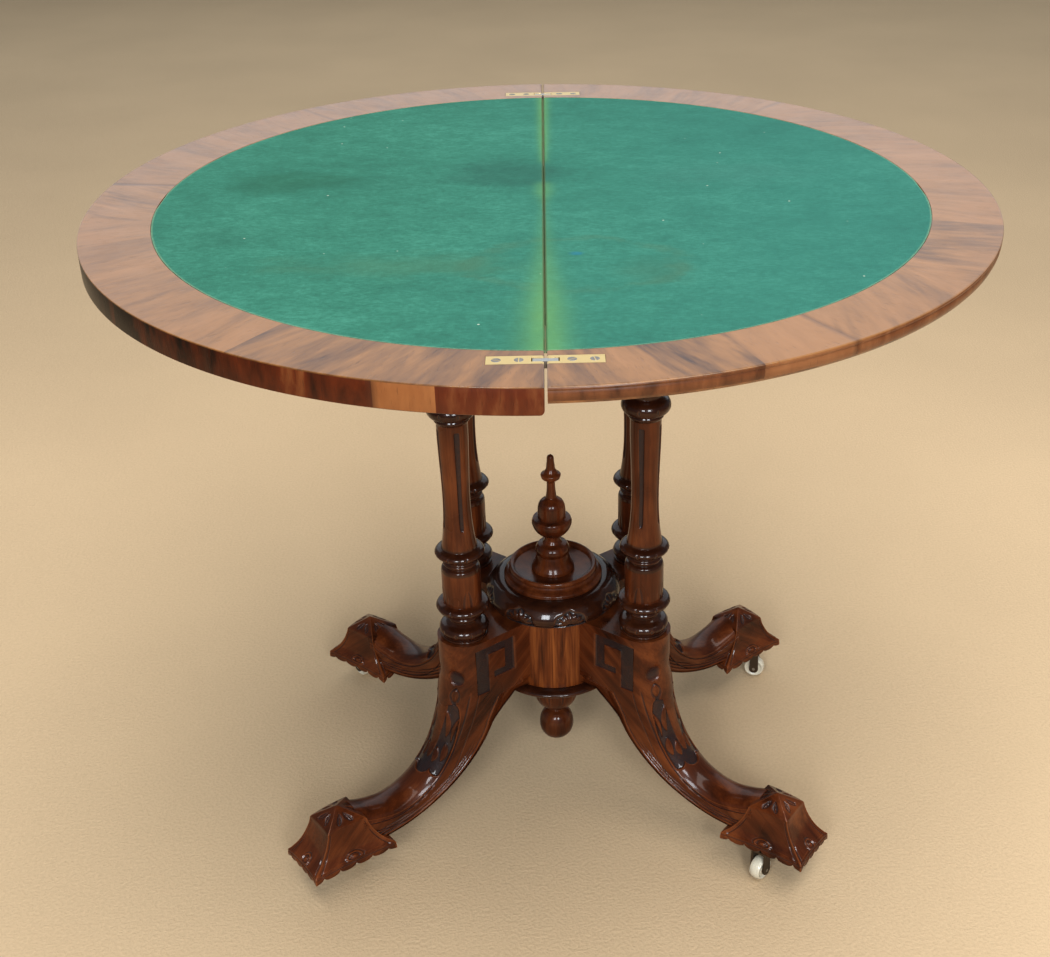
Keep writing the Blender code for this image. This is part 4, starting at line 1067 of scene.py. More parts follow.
def flutes(angle, height, first, depth):
    """Four flutes round the shaft, narrowing to a rounded foot and squarer at the top, darkened inside with
    painted shade.
    """
    half = FLUTE_HALF_WIDTH + FLUTE_FLARE * np.clip((height - FLUTE_LOW) / (FLUTE_HIGH - FLUTE_LOW), 0, 1)
    foot = np.clip((FLUTE_LOW + FLUTE_FOOT - height) / FLUTE_FOOT, 0, None)
    head = np.clip((height - FLUTE_HIGH + FLUTE_HEAD) / FLUTE_HEAD, 0, None)
    total = 0.0
    for quarter in range(4):
        across = around_from(angle, first + quarter * pi / 2) * SHAFT_RADIUS
        total = total + dome(across / half, foot, head)
    return depth * total, np.clip(total * 1.6, 0, 1) * 0.85


def tulips(angle, height, radius, first, low, high, half_width):
    """Sunk pointed arches that stand on a ring, each with a raised leaf inside and a gouge on each side, the
    sunk parts darkened with painted shade.
    """
    total, dark = 0.0, 0.0
    rise = (height - low) / (high - low)
    shape = np.clip(1 - np.clip(rise, 0, 1) ** 2.2, 0, 1) ** 0.6 * (rise > 0) * (rise < 1)
    for quarter in range(4):
        middle = first + quarter * pi / 2
        across = around_from(angle, middle) * radius
        inside = eased(half_width * shape - np.abs(across), 0.0009) * (shape > 0)
        leaf = eased(half_width * 0.48 * shape * (1 - rise * 0.3) - np.abs(across), 0.0014)
        total = total + inside * (1 - 0.75 * leaf)
        dark = dark + inside * (1 - 0.8 * leaf)
        for side in (-1, 1):
            beside = around_from(angle, middle + side * (half_width * 1.75 / TULIP_RADIUS)) * radius
            cut = gouge(beside, height - (low + 0.35 * (high - low)), *TULIP_GOUGE)
            total, dark = total + cut * 0.7, dark + cut * 0.6
    return TULIP_DEPTH * total, np.clip(dark, 0, 1) * 0.45


def notches(angle, height, radius, place, count, depth):
    """Small chevrons nicked round the arris of a ring, darkened with painted shade."""
    cut = gouge(from_nearest(angle, count) * radius, height - place, *NOTCH)
    return depth * cut, cut * 0.7


def base_height(share):
    return COLUMN_FOOT + share * COLUMN_BASE_HEIGHT


def cap_height(share):
    return COLUMN_TOP - (1 - share) * COLUMN_CAP_HEIGHT


def column_relief(corner, depth):
    """The carving of a column, turned to face its corner."""
    first = FLUTE_TURNS[corner]

    def relief(angle, height, radius):
        cuts = [
            flutes(angle, height, first, depth),
            tulips(angle, height, radius, first, base_height(0.375), base_height(0.56), 0.0060),
            tulips(angle, height, radius, first, cap_height(0.33), cap_height(0.56), 0.0058),
        ]
        for place, table in ((base_height, BASE_NOTCHES), (cap_height, CAP_NOTCHES)):
            for share, count, cut_depth in table:
                cuts.append(notches(angle - first, height, radius, place(share), count, cut_depth))
        return sum(cut[0] for cut in cuts), np.clip(sum(cut[1] for cut in cuts), 0, 1)

    return relief


def column_stain(height):
    """How black a column is stained: the rings nearly black, the shaft and the straight walls not at all."""
    base = (height - COLUMN_FOOT) / COLUMN_BASE_HEIGHT
    cap = 1 - (COLUMN_TOP - height) / COLUMN_CAP_HEIGHT
    rings = eased(0.37 - base, 0.02) + eased(base - 0.715, 0.02) * eased(0.985 - base, 0.02)
    rings = rings + eased(0.325 - cap, 0.02) * eased(cap - 0.005, 0.02) + eased(cap - 0.675, 0.02)
    return np.clip(rings, 0, 1) * 0.8


def column_outline(spacing):
    """The outline of a column from its cap down. The shaft runs from the cap's last mark to the base."""
    cap = sized(COLUMN_CAP, COLUMN_RADIUS, COLUMN_CAP_HEIGHT, COLUMN_TOP - COLUMN_CAP_HEIGHT)
    base = sized(COLUMN_BASE, COLUMN_RADIUS, COLUMN_BASE_HEIGHT, COLUMN_FOOT)
    marks = [(0.4 * COLUMN_RADIUS, COLUMN_TOP, 1), *cap, *base, (0.4 * COLUMN_RADIUS, COLUMN_FOOT, 1)]
    return with_corners(marks, spacing)


def ring_carving(angle, height, radius):
    """Fans of leaves round the ring, raised from a sunk ground, with plain polished wood between them; the
    ground and veins get painted shade, the leaves a painted highlight.
    """
    sunk, leaves, veins = 0.0, 0.0, 0.0
    rise = height - FAN_FOOT
    for fan in range(FAN_COUNT):
        across = around_from(angle, radians(FIRST_FAN + FAN_STEP * fan)) * radius
        near = np.abs(across) < FAN_REACH
        edge = FAN_RADIUS * (1 + 0.05 * np.cos(7 * np.arctan2(across, np.maximum(rise, 1e-4))))
        ground = eased(edge - np.hypot(across, rise * 1.12), 0.0022) * near
        sunk = np.maximum(sunk, ground)
        for leaf in range(-3, 4):
            lean = radians(FAN_LEAF_LEAN * leaf)
            along = across * sin(lean) + rise * cos(lean)
            beside = across * cos(lean) - rise * sin(lean)
            shape = gouge(beside, along - FAN_LEAF_MIDDLE, *FAN_LEAF) * near
            leaves = np.maximum(leaves, np.minimum(1, shape * 1.8))
            veins = np.maximum(veins, ridge(beside, VEIN_HALF_WIDTH) * (shape > 0.2))
    depth = FAN_DEPTH * sunk * (1 - 0.85 * leaves) + VEIN_DEPTH * veins
    dark = sunk * (0.95 - 1.25 * leaves) + veins * 0.8
    return depth, np.clip(dark, -0.35, 1)


def drop_carving(angle, height, radius):
    """Upright leaf gouges round the bulb of the drop, darkened with painted shade."""
    _, drop_height, foot = DROP_SIZES
    across = from_nearest(angle, DROP_GOUGE_COUNT) * radius
    cut = gouge(across, height - (foot + DROP_GOUGE_PLACE_SHARE * drop_height), *DROP_GOUGE)
    return DROP_GOUGE_DEPTH * cut, cut * 0.5


def leg_sections():
    """The leg's sections from the top of its block down: outer and inner points, half width and crown."""
    outer = [(BLOCK_END, BLOCK_TOP), (BLOCK_END, 0.900 * BLOCK_TOP), (BLOCK_END, 0.815 * BLOCK_TOP)]
    inner = [(BLOCK_HEEL, BLOCK_TOP), (BLOCK_HEEL, 1.28 * DRUM_BOTTOM), (BLOCK_HEEL, DRUM_BOTTOM)]
    slim = [0.0, 0.0, 0.0]
    for outer_run, outer_rise, inner_run, inner_rise, slimness in LEG_SHARES:
        outer.append((BLOCK_END + outer_run * (FOOT_REACH - BLOCK_END), outer_rise * BLOCK_TOP))
        inner.append((HEEL_EDGE + inner_run * (FOOT_REACH - HEEL_EDGE), inner_rise * DRUM_BOTTOM))
        slim.append(slimness)
    outer, inner, slim = np.array(outer), np.array(inner), np.array(slim)[:, None]
    knots = lengths_along(outer)
    carved = np.linspace(0, CARVED_RUN, CARVED_ROWS, endpoint=False)
    places = np.concatenate([carved, np.linspace(CARVED_RUN, knots[-1], PLAIN_ROWS)])
    outer = hermite(knots, outer, places)
    lower_inner = hermite(knots[3:], inner[3:], np.maximum(places, knots[3]))
    upper_inner = np.stack([np.interp(places, knots, inner[:, axis]) for axis in (0, 1)], axis=1)
    inner = np.where(places[:, None] > knots[3], lower_inner, upper_inner)
    slim = hermite(knots, slim, places)
    half_width = BLOCK_RADIUS + slim * (LEG_HALF_WIDTH - BLOCK_RADIUS)
    crown = BLOCK_RADIUS + slim * (LEG_CROWN - BLOCK_RADIUS)
    return places, outer, inner, half_width, crown


def leg_rows():
    """The leg's skin, and where each point lies on it: the way down, along the side, and round the crown."""
    down, outer, inner, half_width, crown = leg_sections()
    along = outer - inner
    length = np.linalg.norm(along, axis=1, keepdims=True)
    shoulder = inner + along * (1 - crown / length)
    lift = along / length * crown
    share = np.linspace(0, 1, LEG_SIDE_POINTS)
    share = share - 0.06 * np.sin(share * 2 * pi)
    turn = np.linspace(-pi / 2, pi / 2, LEG_CROWN_POINTS + 2)[1:-1]
    heel = np.linspace(1, -1, LEG_HEEL_POINTS + 2)[1:-1]
    near, far = -np.ones_like(share), np.ones_like(share)
    side_share = np.concatenate([share, np.ones_like(turn), share[::-1], np.zeros_like(heel)])
    across = np.concatenate([near, np.sin(turn), far, heel])
    rise = np.concatenate([np.zeros_like(share), np.cos(turn), np.zeros_like(share), np.zeros_like(heel)])
    crown_turn = np.concatenate([near * pi / 2, turn, far * pi / 2, heel * pi / 2])
    plane = inner[:, None] + (shoulder - inner)[:, None] * side_share[None, :, None]
    plane = plane + lift[:, None] * rise[None, :, None]
    rows = np.stack([plane[..., 0], half_width * across[None, :], plane[..., 1]], axis=-1)
    point = np.arange(len(side_share))[None, :]
    crown_end = LEG_SIDE_POINTS + LEG_CROWN_POINTS
    length_to_shoulder = np.linalg.norm(shoulder - inner, axis=1, keepdims=True)
    from_heel = length_to_shoulder * side_share[None, :]
    places = {
        "down": down[:, None] + 0 * from_heel,
        "turn": crown_turn[None, :] + 0 * from_heel,
        "from_heel": from_heel,
        "to_shoulder": length_to_shoulder - from_heel,
        "crown": (point >= LEG_SIDE_POINTS) & (point < crown_end),
        "heel": point >= crown_end + LEG_SIDE_POINTS,
    }
    return rows, places


def block_fret(run, rise):
    """The sunk key pattern on the side of a leg block: three sides of a square, the outer one longer."""
    inside = -1.0
    for left, right, low, high in FRET_ARMS:
        arm = np.minimum(np.minimum(run - left, right - run), np.minimum(rise - low, high - rise))
        inside = np.maximum(inside, arm)
    return eased(inside, 0.0010)


def panel_shape(flank, down):
    """How far inside a flank's sunk panel a point lies, and how far outside its shoulder edge, in metres."""
    outer_edge = np.interp(down, *PANEL_EDGE)
    top = PANEL_TOP + 0.014 * np.abs(flank - 0.66)
    side_lobe = PANEL_END + 0.0040 * dome((flank - 0.76) / 0.30)
    middle_lobe = PANEL_END + 0.0100 * dome(flank / 0.44)
    end = np.maximum(side_lobe, middle_lobe)
    inside = np.minimum((outer_edge - flank) * PANEL_RADIUS, np.minimum(down - top, end - down))
    return inside, (flank - outer_edge) * PANEL_RADIUS


def crown_carving(turn, down):
    """Down each flank of the crown: a hollow, a drop, and a sunk panel with leaves round a broad tongue; the
    hollows, the ground and the reeds get painted shade, the beads, leaves and tongue a painted highlight.
    """
    flank = np.abs(turn)
    hollow = dome((flank - 0.59) / 0.32, (down - 0.0427) / 0.0098)
    drop = lens((flank - 0.60) * HIGH_RADIUS, down - 0.0655, 0.0046, 0.0085)
    moat = lens((flank - 0.60) * HIGH_RADIUS, down - 0.0670, 0.0072, 0.0125) * (1 - drop)
    inside, outside = panel_shape(flank, down)
    ground = eased(inside, 0.0010)
    tongue_half = np.interp(down, *TONGUE_EDGE)
    tongue = eased((tongue_half - flank) * LOW_RADIUS, 0.0014) * (down < TONGUE_END)
    leaves = 0.0
    for place, middle, lean, half_width, half_length in CROWN_LEAVES:
        along = down - middle
        sweep = (flank - place) * LOW_RADIUS - along * lean + 10.0 * along**2 * np.sign(lean)
        leaves = np.maximum(leaves, lens(sweep, along, half_width, half_length))
    raised = np.maximum(tongue, leaves * (inside > 0.0002))
    bead = ridge(outside - 0.0016, 0.0011) * eased(down - 0.060, 0.01)
    lip = ridge(inside + 0.0012, 0.0010) * (down > TONGUE_END)
    edge = np.maximum(bead, lip)
    depth = 0.0030 * hollow + 0.0017 * moat + 0.0024 * ground * (1 - 0.85 * raised) - 0.0004 * edge
    dark = hollow * 0.85 + moat * 0.8 + ground * (0.95 - 1.10 * raised) - 0.6 * edge
    reed = ridge((flank - np.interp(down, *CROWN_REED)) * LOW_RADIUS, 0.0016)
    reed = reed * eased(down - REED_START, 0.02) * eased(REED_END - down, 0.02)
    return depth + 0.0014 * reed, np.clip(dark + 0.85 * reed, -1, 1)


def side_carving(places):
    """On the side of a leg: a reed below the shoulder, and a bead that follows the inner edge down; the
    grooves get painted shade and the bead a painted highlight.
    """
    down = places["down"]
    below = eased(down - REED_START, 0.02) * eased(0.250 - down, 0.05)
    reed = ridge(places["to_shoulder"] - np.interp(down, *SIDE_REED), GROOVE_HALF_WIDTH) * below
    from_line = places["from_heel"] - np.interp(down, *INNER_LINE)
    along = eased(down - 0.046, 0.004) * eased(0.330 - down, 0.02)
    groove = ridge(from_line - 0.0010, GROOVE_HALF_WIDTH) * along
    on_ankle = eased(down - 0.120, 0.03) * eased(0.300 - down, 0.05)
    for place in ANKLE_GROOVES:
        groove = np.maximum(groove, ridge(from_line - place, GROOVE_HALF_WIDTH) * on_ankle)
    bead = ridge(from_line + 0.0009, BEAD_HALF_WIDTH) * along
    chamfer = np.clip(-from_line - 0.0016, 0, 0.010) * 0.38 * along
    depth = 0.0013 * reed + 0.0014 * groove - 0.0004 * bead + chamfer
    return depth, np.clip(0.8 * reed + 0.85 * groove - 0.8 * bead, -1, 1)


def cut_square(rows, depth):
    """Moves each point of a wrapped skin in by its depth, square to the surface."""
    along = np.gradient(rows, axis=0)
    padded = np.concatenate([rows[:, -1:], rows, rows[:, :1]], axis=1)
    around = (padded[:, 2:] - padded[:, :-2]) / 2
    normal = np.cross(along, around)
    normal /= np.maximum(np.linalg.norm(normal, axis=2, keepdims=True), 1e-12)
    outward = rows - rows.mean(axis=1, keepdims=True)
    sign = np.sign((normal * outward).sum(axis=2).sum())
    return rows - sign * normal * depth[..., None]


def carved_leg():
    """The skin of a leg with its carving cut in, and its carving's painted shade in the cuts and key pattern
    and painted highlight on raised work.
    """
    rows, places = leg_rows()
    crown_depth, crown_dark = crown_carving(places["turn"], places["down"])
    side_depth, side_dark = side_carving(places)
    on_side = ~places["crown"] & ~places["heel"]
    fret = block_fret(rows[..., 0], rows[..., 2]) * ~places["heel"] * (np.abs(places["turn"]) > 1.2)
    depth = crown_depth * places["crown"] + side_depth * on_side
    dark = crown_dark * places["crown"] + side_dark * on_side
    return cut_square(rows, depth + FRET_DEPTH * fret), np.where(fret > 0.05, 0.97 * fret, dark)


def foot_carving(share, level):
    """On each face of a foot: beads by the corners, a rim round a dot, and hollow leaves above; grooves,
    hollow leaves and the cross line get painted shade, the arrises, rim, dot and veins a painted highlight.
    """
    middle = np.abs(share)
    on_wall = eased(level - 0.36, 0.03) * eased(0.80 - level, 0.03)
    groove = ridge(middle - 0.87, 0.035) * on_wall
    arris = np.clip((middle - 0.95) / 0.04, 0, 1) * (level > 0.03) * (level < 0.93)
    from_rim = np.hypot(share / FOOT_RIM_SHARES[0], (level - FOOT_RIM_LEVEL) / FOOT_RIM_SHARES[1])
    above_lip = eased(FOOT_LIP_LEVEL - level, 0.02)
    rim = ridge(from_rim - 1.0, 0.20) * above_lip
    beside = (ridge(from_rim - 1.30, 0.15) + ridge(from_rim - 0.70, 0.15)) * above_lip
    dot = eased(0.34 - from_rim, 0.15)
    leaves, veins = 0.0, 0.0
    for lean in (-FOOT_LEAF_LEAN, FOOT_LEAF_LEAN):
        across = share - lean * (0.5 + level * 2)
        leaves = np.maximum(leaves, lens(across, level - FOOT_LEAF_LEVEL, *FOOT_LEAF_SHARES))
        veins = np.maximum(veins, ridge(across, 0.04) * (np.abs(level - FOOT_LEAF_LEVEL) < 0.07))
    leaves = leaves * eased(0.31 - level, 0.02)
    line = ridge(level - FOOT_LINE_LEVEL, 0.014)
    depth = 0.0010 * groove - 0.0011 * dot - 0.0010 * rim + 0.0008 * beside
    depth = depth + 0.0014 * leaves * (1 - 0.6 * veins)
    dark = groove * 0.8 - dot * 0.5 - rim * 0.7 + beside * 0.8
    dark = dark + leaves * (0.75 - 1.2 * veins) + line * 0.8 - arris
    return depth + 0.0009 * line, np.clip(dark, -0.9, 1)


def foot_rows():
    """The hood of a foot: a low roof, hollow walls that flare to pointed corners, and a scalloped lip."""
    levels = with_corners(FOOT_LEVELS, FOOT_LEVEL_SPACING, 0.0)
    share = np.linspace(-1, 1, FOOT_SIDE_POINTS, endpoint=False)
    outer_half, inner_half, long_half = FOOT_OUTER_WIDTH / 2, FOOT_INNER_WIDTH / 2, FOOT_LENGTH / 2
    corners = np.array([
        (long_half, -outer_half), (long_half, outer_half),
        (-long_half, inner_half), (-long_half, -inner_half),
    ])
    level_share = np.linspace(0, 1, len(levels))[:, None]
    depth, dark = foot_carving(share[None, :], level_share)
    bow = (1 - share**2)[None, :]
    wall = eased(level_share - 0.36, 0.1) * eased(0.84 - level_share, 0.1)
    pull = 1 - WALL_PULL_SHARE * bow * wall
    rise = levels[:, 2:3] + (levels[:, 3:4] - levels[:, 2:3]) * bow**0.8
    lobe = ((share + 1) / 2 * FOOT_SCALLOPS + 0.5) % 1 * 2 - 1
    scallop = SCALLOP_SHARE * (1 - dome(lobe)) * np.clip((0.105 - levels[:, 2:3]) / 0.09, 0, 1)
    height = FOOT_BOTTOM + FOOT_HEIGHT * (rise + scallop)
    rows = []
    for start, end in zip(corners, np.roll(corners, -1, axis=0)):
        plan = start[None, :] + (end - start)[None, :] * (share[:, None] + 1) / 2
        run = plan[None, :, 0] * levels[:, :1] * pull
        across = plan[None, :, 1] * levels[:, 1:2] * pull
        rows.append(np.stack([FOOT_REACH + run, across, height], axis=-1))
    rows = np.concatenate(rows, axis=1)
    return cut_square(rows, np.tile(depth, 4)), np.tile(dark, 4)


def set_at(rows, angle):
    """Turns points drawn with the leg along +X to their corner."""
    x = rows[..., 0] * cos(angle) - rows[..., 1] * sin(angle)
    y = rows[..., 0] * sin(angle) + rows[..., 1] * cos(angle)
    return np.stack([x, y, rows[..., 2]], axis=-1)


def leg_grain(rows, seed):
    """The grain of a leg runs on a slant from its block to its foot."""
    lean = radians(40)
    along = rows[..., 0] * cos(lean) - rows[..., 2] * sin(lean)
    square = rows[..., 0] * sin(lean) + rows[..., 2] * cos(lean)
    return np.stack([rows[..., 1] + 0.06 + 0.017 * seed, square + 0.02 * seed, along + 0.41 * seed], axis=-1)


def worked_mesh(obj, name, sharp, *helpers):
    """The mesh of an object with its modifiers applied. The object and its helpers are removed."""
    graph = bpy.context.evaluated_depsgraph_get()
    mesh = bpy.data.meshes.new_from_object(obj.evaluated_get(graph))
    for item in (obj, *helpers):
        bpy.data.objects.remove(item, do_unlink=True)
    mesh.name = name
    mesh.materials.clear()
    mesh.shade_smooth()
    mesh.set_sharp_from_angle(angle=radians(sharp))
    return mesh


def cut_turning(name, profile, around, turn, cutters, sharp):
    """The mesh of a turning with its cutters taken away."""
    rows, dark = turned_rows(np.array(profile), around, None, turn)
    blank = linked_object(name, skinned(name, rows, rows, dark))
    for cutter in cutters:
        modifier = blank.modifiers.new("Cut", "BOOLEAN")
        modifier.operation, modifier.solver, modifier.object = "DIFFERENCE", "EXACT", cutter
    return worked_mesh(blank, name, sharp, *cutters)


def prism(name, outline, extrusion):
    """A cutter: a closed outline of points, extruded by a vector."""
    bm = bmesh.new()
    face = bm.faces.new([bm.verts.new(point) for point in outline])
    pushed = bmesh.ops.extrude_face_region(bm, geom=[face])["geom"]
    moved = [item for item in pushed if isinstance(item, bmesh.types.BMVert)]
    bmesh.ops.translate(bm, vec=extrusion, verts=moved)
    bmesh.ops.recalc_face_normals(bm, faces=bm.faces)
    mesh = bpy.data.meshes.new(name)
    bm.to_mesh(mesh)
    bm.free()
    return linked_object(name, mesh)


def leaf_section(side, points, y):
    """Points given as inset from the fold and depth under the top, on one leaf."""
    return [(side * inset, y, TOP_HEIGHT - depth) for inset, depth in points]


def fold_cutter(side, reach, underside, rounding):
    """What a leaf loses beyond the fold: its top arris rolled about the hinge pin, its lower one eased."""
    points = []
    for step in range(ROLL_STEPS + 1):
        angle = ROLL_START + (ROLL_END - ROLL_START) * step / ROLL_STEPS
        points.append((PIN_INSET - ROLL_RADIUS * cos(angle), PIN_DEPTH - ROLL_RADIUS * sin(angle)))
    points.insert(0, (points[0][0], -OVERRUN))
    points.append((FOLD_EDGE, points[-1][1]))
    for step in range(ROUNDING_STEPS + 1):
        angle = pi / 2 * step / ROUNDING_STEPS
        points.append((FOLD_EDGE + rounding * (1 - cos(angle)), underside - rounding * (1 - sin(angle))))
    inset = FOLD_EDGE + rounding
    points += [(inset, underside + OVERRUN), (-2 * reach, underside + OVERRUN), (-2 * reach, -OVERRUN)]
    return prism("fold_cut", leaf_section(side, points, -reach), (0, 2 * reach, 0))


def pocket(side, y, length, depth, half_width):
    """The cutter of a seat that runs in from the fold."""
    points = [(-OVERRUN, -OVERRUN), (length, -OVERRUN), (length, depth), (-OVERRUN, depth)]
    return prism("pocket", leaf_section(side, points, y - half_width), (0, 2 * half_width, 0))


def leaf_mesh(name, side, profile, underside, rounding, radius):
    """A half round leaf cut from a turned blank, with the seats of its hinges."""
    cutters = [fold_cutter(side, radius + OVERRUN, underside, rounding)]
    plate_half, link_half = PLATE_HALF_WIDTH + FIT_GAP, LINK_HALF_WIDTH + FIT_GAP
    seats = (
        (PLATE_LENGTH, PLATE_THICKNESS, plate_half), (CHEEK_LENGTH, CHEEK_DEPTH, plate_half),
        (PIN_INSET + LINK_SWEEP, PIN_DEPTH + LINK_SWEEP, link_half),
    )
    for y in HINGE_PLACES.values():
        for length, depth, half in seats:
            cutters.append(pocket(side, y, length + FIT_GAP, depth + FIT_GAP, half))
    return cut_turning(name, profile, LEAF_POINTS, pi / LEAF_POINTS, cutters, LEAF_SHARP_ANGLE)


def sort_leaf_faces(mesh, side):
    """The first finish goes on the top and the edge, and the second below and in the fold."""
    for face in mesh.polygons:
        below = face.normal.z < -0.6 or (face.normal.z < 0.5 and face.center.xy.length < 0.43)
        fold = side * face.normal.x < -0.8 and side * face.center.x < 0.004
        face.material_index = 1 if below or fold else 0


def leaf_outline(radius, baize_radius, edge):
    """The outline of a leaf from the middle of its top over its edge to the middle of its underside."""
    seat, seat_height = baize_radius + FIT_GAP, TOP_HEIGHT - BAIZE_SEAT_DEPTH
    top = [(BLANK_BORE, seat_height), (BLANK_RING, seat_height), (seat, seat_height)]
    top += [(seat, TOP_HEIGHT - SEAT_ARRIS), (seat + SEAT_ARRIS, TOP_HEIGHT)]
    top += [(seat + INNER_GUARD, TOP_HEIGHT), (radius - edge[0][0] - OUTER_GUARD, TOP_HEIGHT)]
    top += [(radius - inset, TOP_HEIGHT - depth) for inset, depth in edge]
    return top + [(BLANK_RING, LEAF_UNDERSIDE), (BLANK_BORE, LEAF_UNDERSIDE)]


def baize_points(radius, side):
    """One half of the baize as a sheet: rows along the fold, slightly uneven, down over the rolled arris."""
    rng = np.random.default_rng(7 if side < 0 else 11)
    count = BAIZE_ROWS - len(BAIZE_ROLLED_INSETS)
    flat_reach = radius - BAIZE_FLAT_INSET - BAIZE_END_SPACE
    flat = BAIZE_FLAT_INSET + flat_reach * np.sin(np.linspace(0, pi / 2, count))
    fray = BAIZE_FRAY * rng.standard_normal((BAIZE_ROWS, 2))
    share = np.linspace(-1, 1, BAIZE_COLUMNS)
    share = np.sign(share) * (1 - (1 - np.abs(share)) ** 1.25)
    points = np.zeros((BAIZE_ROWS, BAIZE_COLUMNS, 3))
    for row, inset in enumerate([*BAIZE_ROLLED_INSETS, *flat]):
        y = share * (sqrt(max(radius**2 - inset**2, 1e-8)) - 0.0002)
        y[0] += min(abs(fray[row, 0]), 0.4 * (y[1] - y[0]))
        y[-1] -= min(abs(fray[row, 1]), 0.4 * (y[-1] - y[-2]))
        wave = BAIZE_WAVE * (np.sin(y * 47 + inset * 31) + np.sin(y * 83 - inset * 59 + 1.3))
        from_pin = max(PIN_INSET - inset, 0.0)
        drop = PIN_DEPTH - sqrt(max((ROLL_RADIUS + 0.00006) ** 2 - from_pin**2, 0))
        points[row, :, 0] = side * inset
        points[row, :, 1] = y
        points[row, :, 2] = TOP_HEIGHT - max(drop, BAIZE_PROUD) + np.minimum(wave, 0)
    return points


def baize_sheet(name, side, radius, thickness):
    """One half of the baize with its thickness below the sheet."""
    points = baize_points(radius, side)
    mesh = mesh_of(name, points, grid_faces(BAIZE_ROWS, BAIZE_COLUMNS, wrapped=False))
    if mesh.polygons[len(mesh.polygons) // 2].normal.z < 0:
        mesh.flip_normals()
    blank = linked_object(f"{name}_blank", mesh)
    modifier = blank.modifiers.new("Thickness", "SOLIDIFY")
    modifier.thickness, modifier.offset = thickness, -1
    return worked_mesh(blank, name, 50)


def screw_mesh(name, x, y, slot_turn):
    """A slotted countersunk screw head, let in flush with a hinge plate."""
    top, radius = TOP_HEIGHT + SCREW_PROUD, SCREW_RADIUS
    outline = [(0.0002, top), (radius * 0.5, top), (radius * 0.9, top - 0.00005)]
    outline += [(radius, top - SCREW_ARRIS), (radius, top - 0.0012), (radius * 0.3, top - SCREW_HEIGHT)]
    half, reach = SLOT_HALF_WIDTH, radius * 1.1
    corners = [(-reach, -half), (reach, -half), (reach, half), (-reach, half)]
    cosine, sine = cos(slot_turn), sin(slot_turn)
    slot = [(u * cosine - v * sine, u * sine + v * cosine, top - SLOT_DEPTH) for u, v in corners]
    cutter = prism("slot", slot, (0, 0, 0.002))
    mesh = cut_turning(name, outline, 48, 0.0, [cutter], 30)
    mesh.transform(Matrix.Translation((x, y, 0)))
    return mesh


def wheel_mesh(name, corner):
    """A ceramic wheel: a rounded tread, a dished side and a brown boss round the axle."""
    half, radius = WHEEL_HALF_WIDTH, WHEEL_RADIUS
    side = [
        (WHEEL_BORE, half * 0.98, 1), (0.0044, half, 1), (0.0052, half * 0.80, 0), (0.0085, half * 0.74, 0),
        (0.0106, half * 0.96, 0), (0.0118, half, 0), (radius - 0.0006, half * 0.62, 0),
    ]
    lower = [(share, -rise, sharp) for share, rise, sharp in reversed(side)]
    rows, _ = turned_rows(with_corners(side + [(radius, 0.0, 0)] + lower, WHEEL_SPACING), WHEEL_POINTS)
    dark = (np.hypot(rows[..., 0], rows[..., 1]) < WHEEL_BOSS_RADIUS).astype(float)
    count, around = rows.shape[:2]
    last = (count - 1) * around
    bore = []
    for step in range(around):
        after = (step + 1) % around
        bore.append([step, after, last + after, last + step])
    mesh = mesh_of(name, rows, grid_faces(count, around) + bore)
    write_points(mesh, "grain", "FLOAT_VECTOR", rows)
    write_points(mesh, "carved", "FLOAT", dark)
    tidy_normals(mesh, 45)
    angle, heading = CORNERS[corner], CASTOR_HEADINGS[corner]
    x = FOOT_REACH * cos(angle) + CASTOR_OFFSET * cos(heading)
    y = FOOT_REACH * sin(angle) + CASTOR_OFFSET * sin(heading)
    turn = Matrix.Rotation(heading, 4, "Z") @ Matrix.Rotation(pi / 2, 4, "X")
    mesh.transform(Matrix.Translation((x, y, WHEEL_RADIUS)) @ turn)
    return mesh


def refinish(names, material):
    """Gives CAD pieces whose shape is right a better finish."""
    for name in names:
        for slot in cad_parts[name].material_slots:
            slot.link = "OBJECT"
            slot.material = material


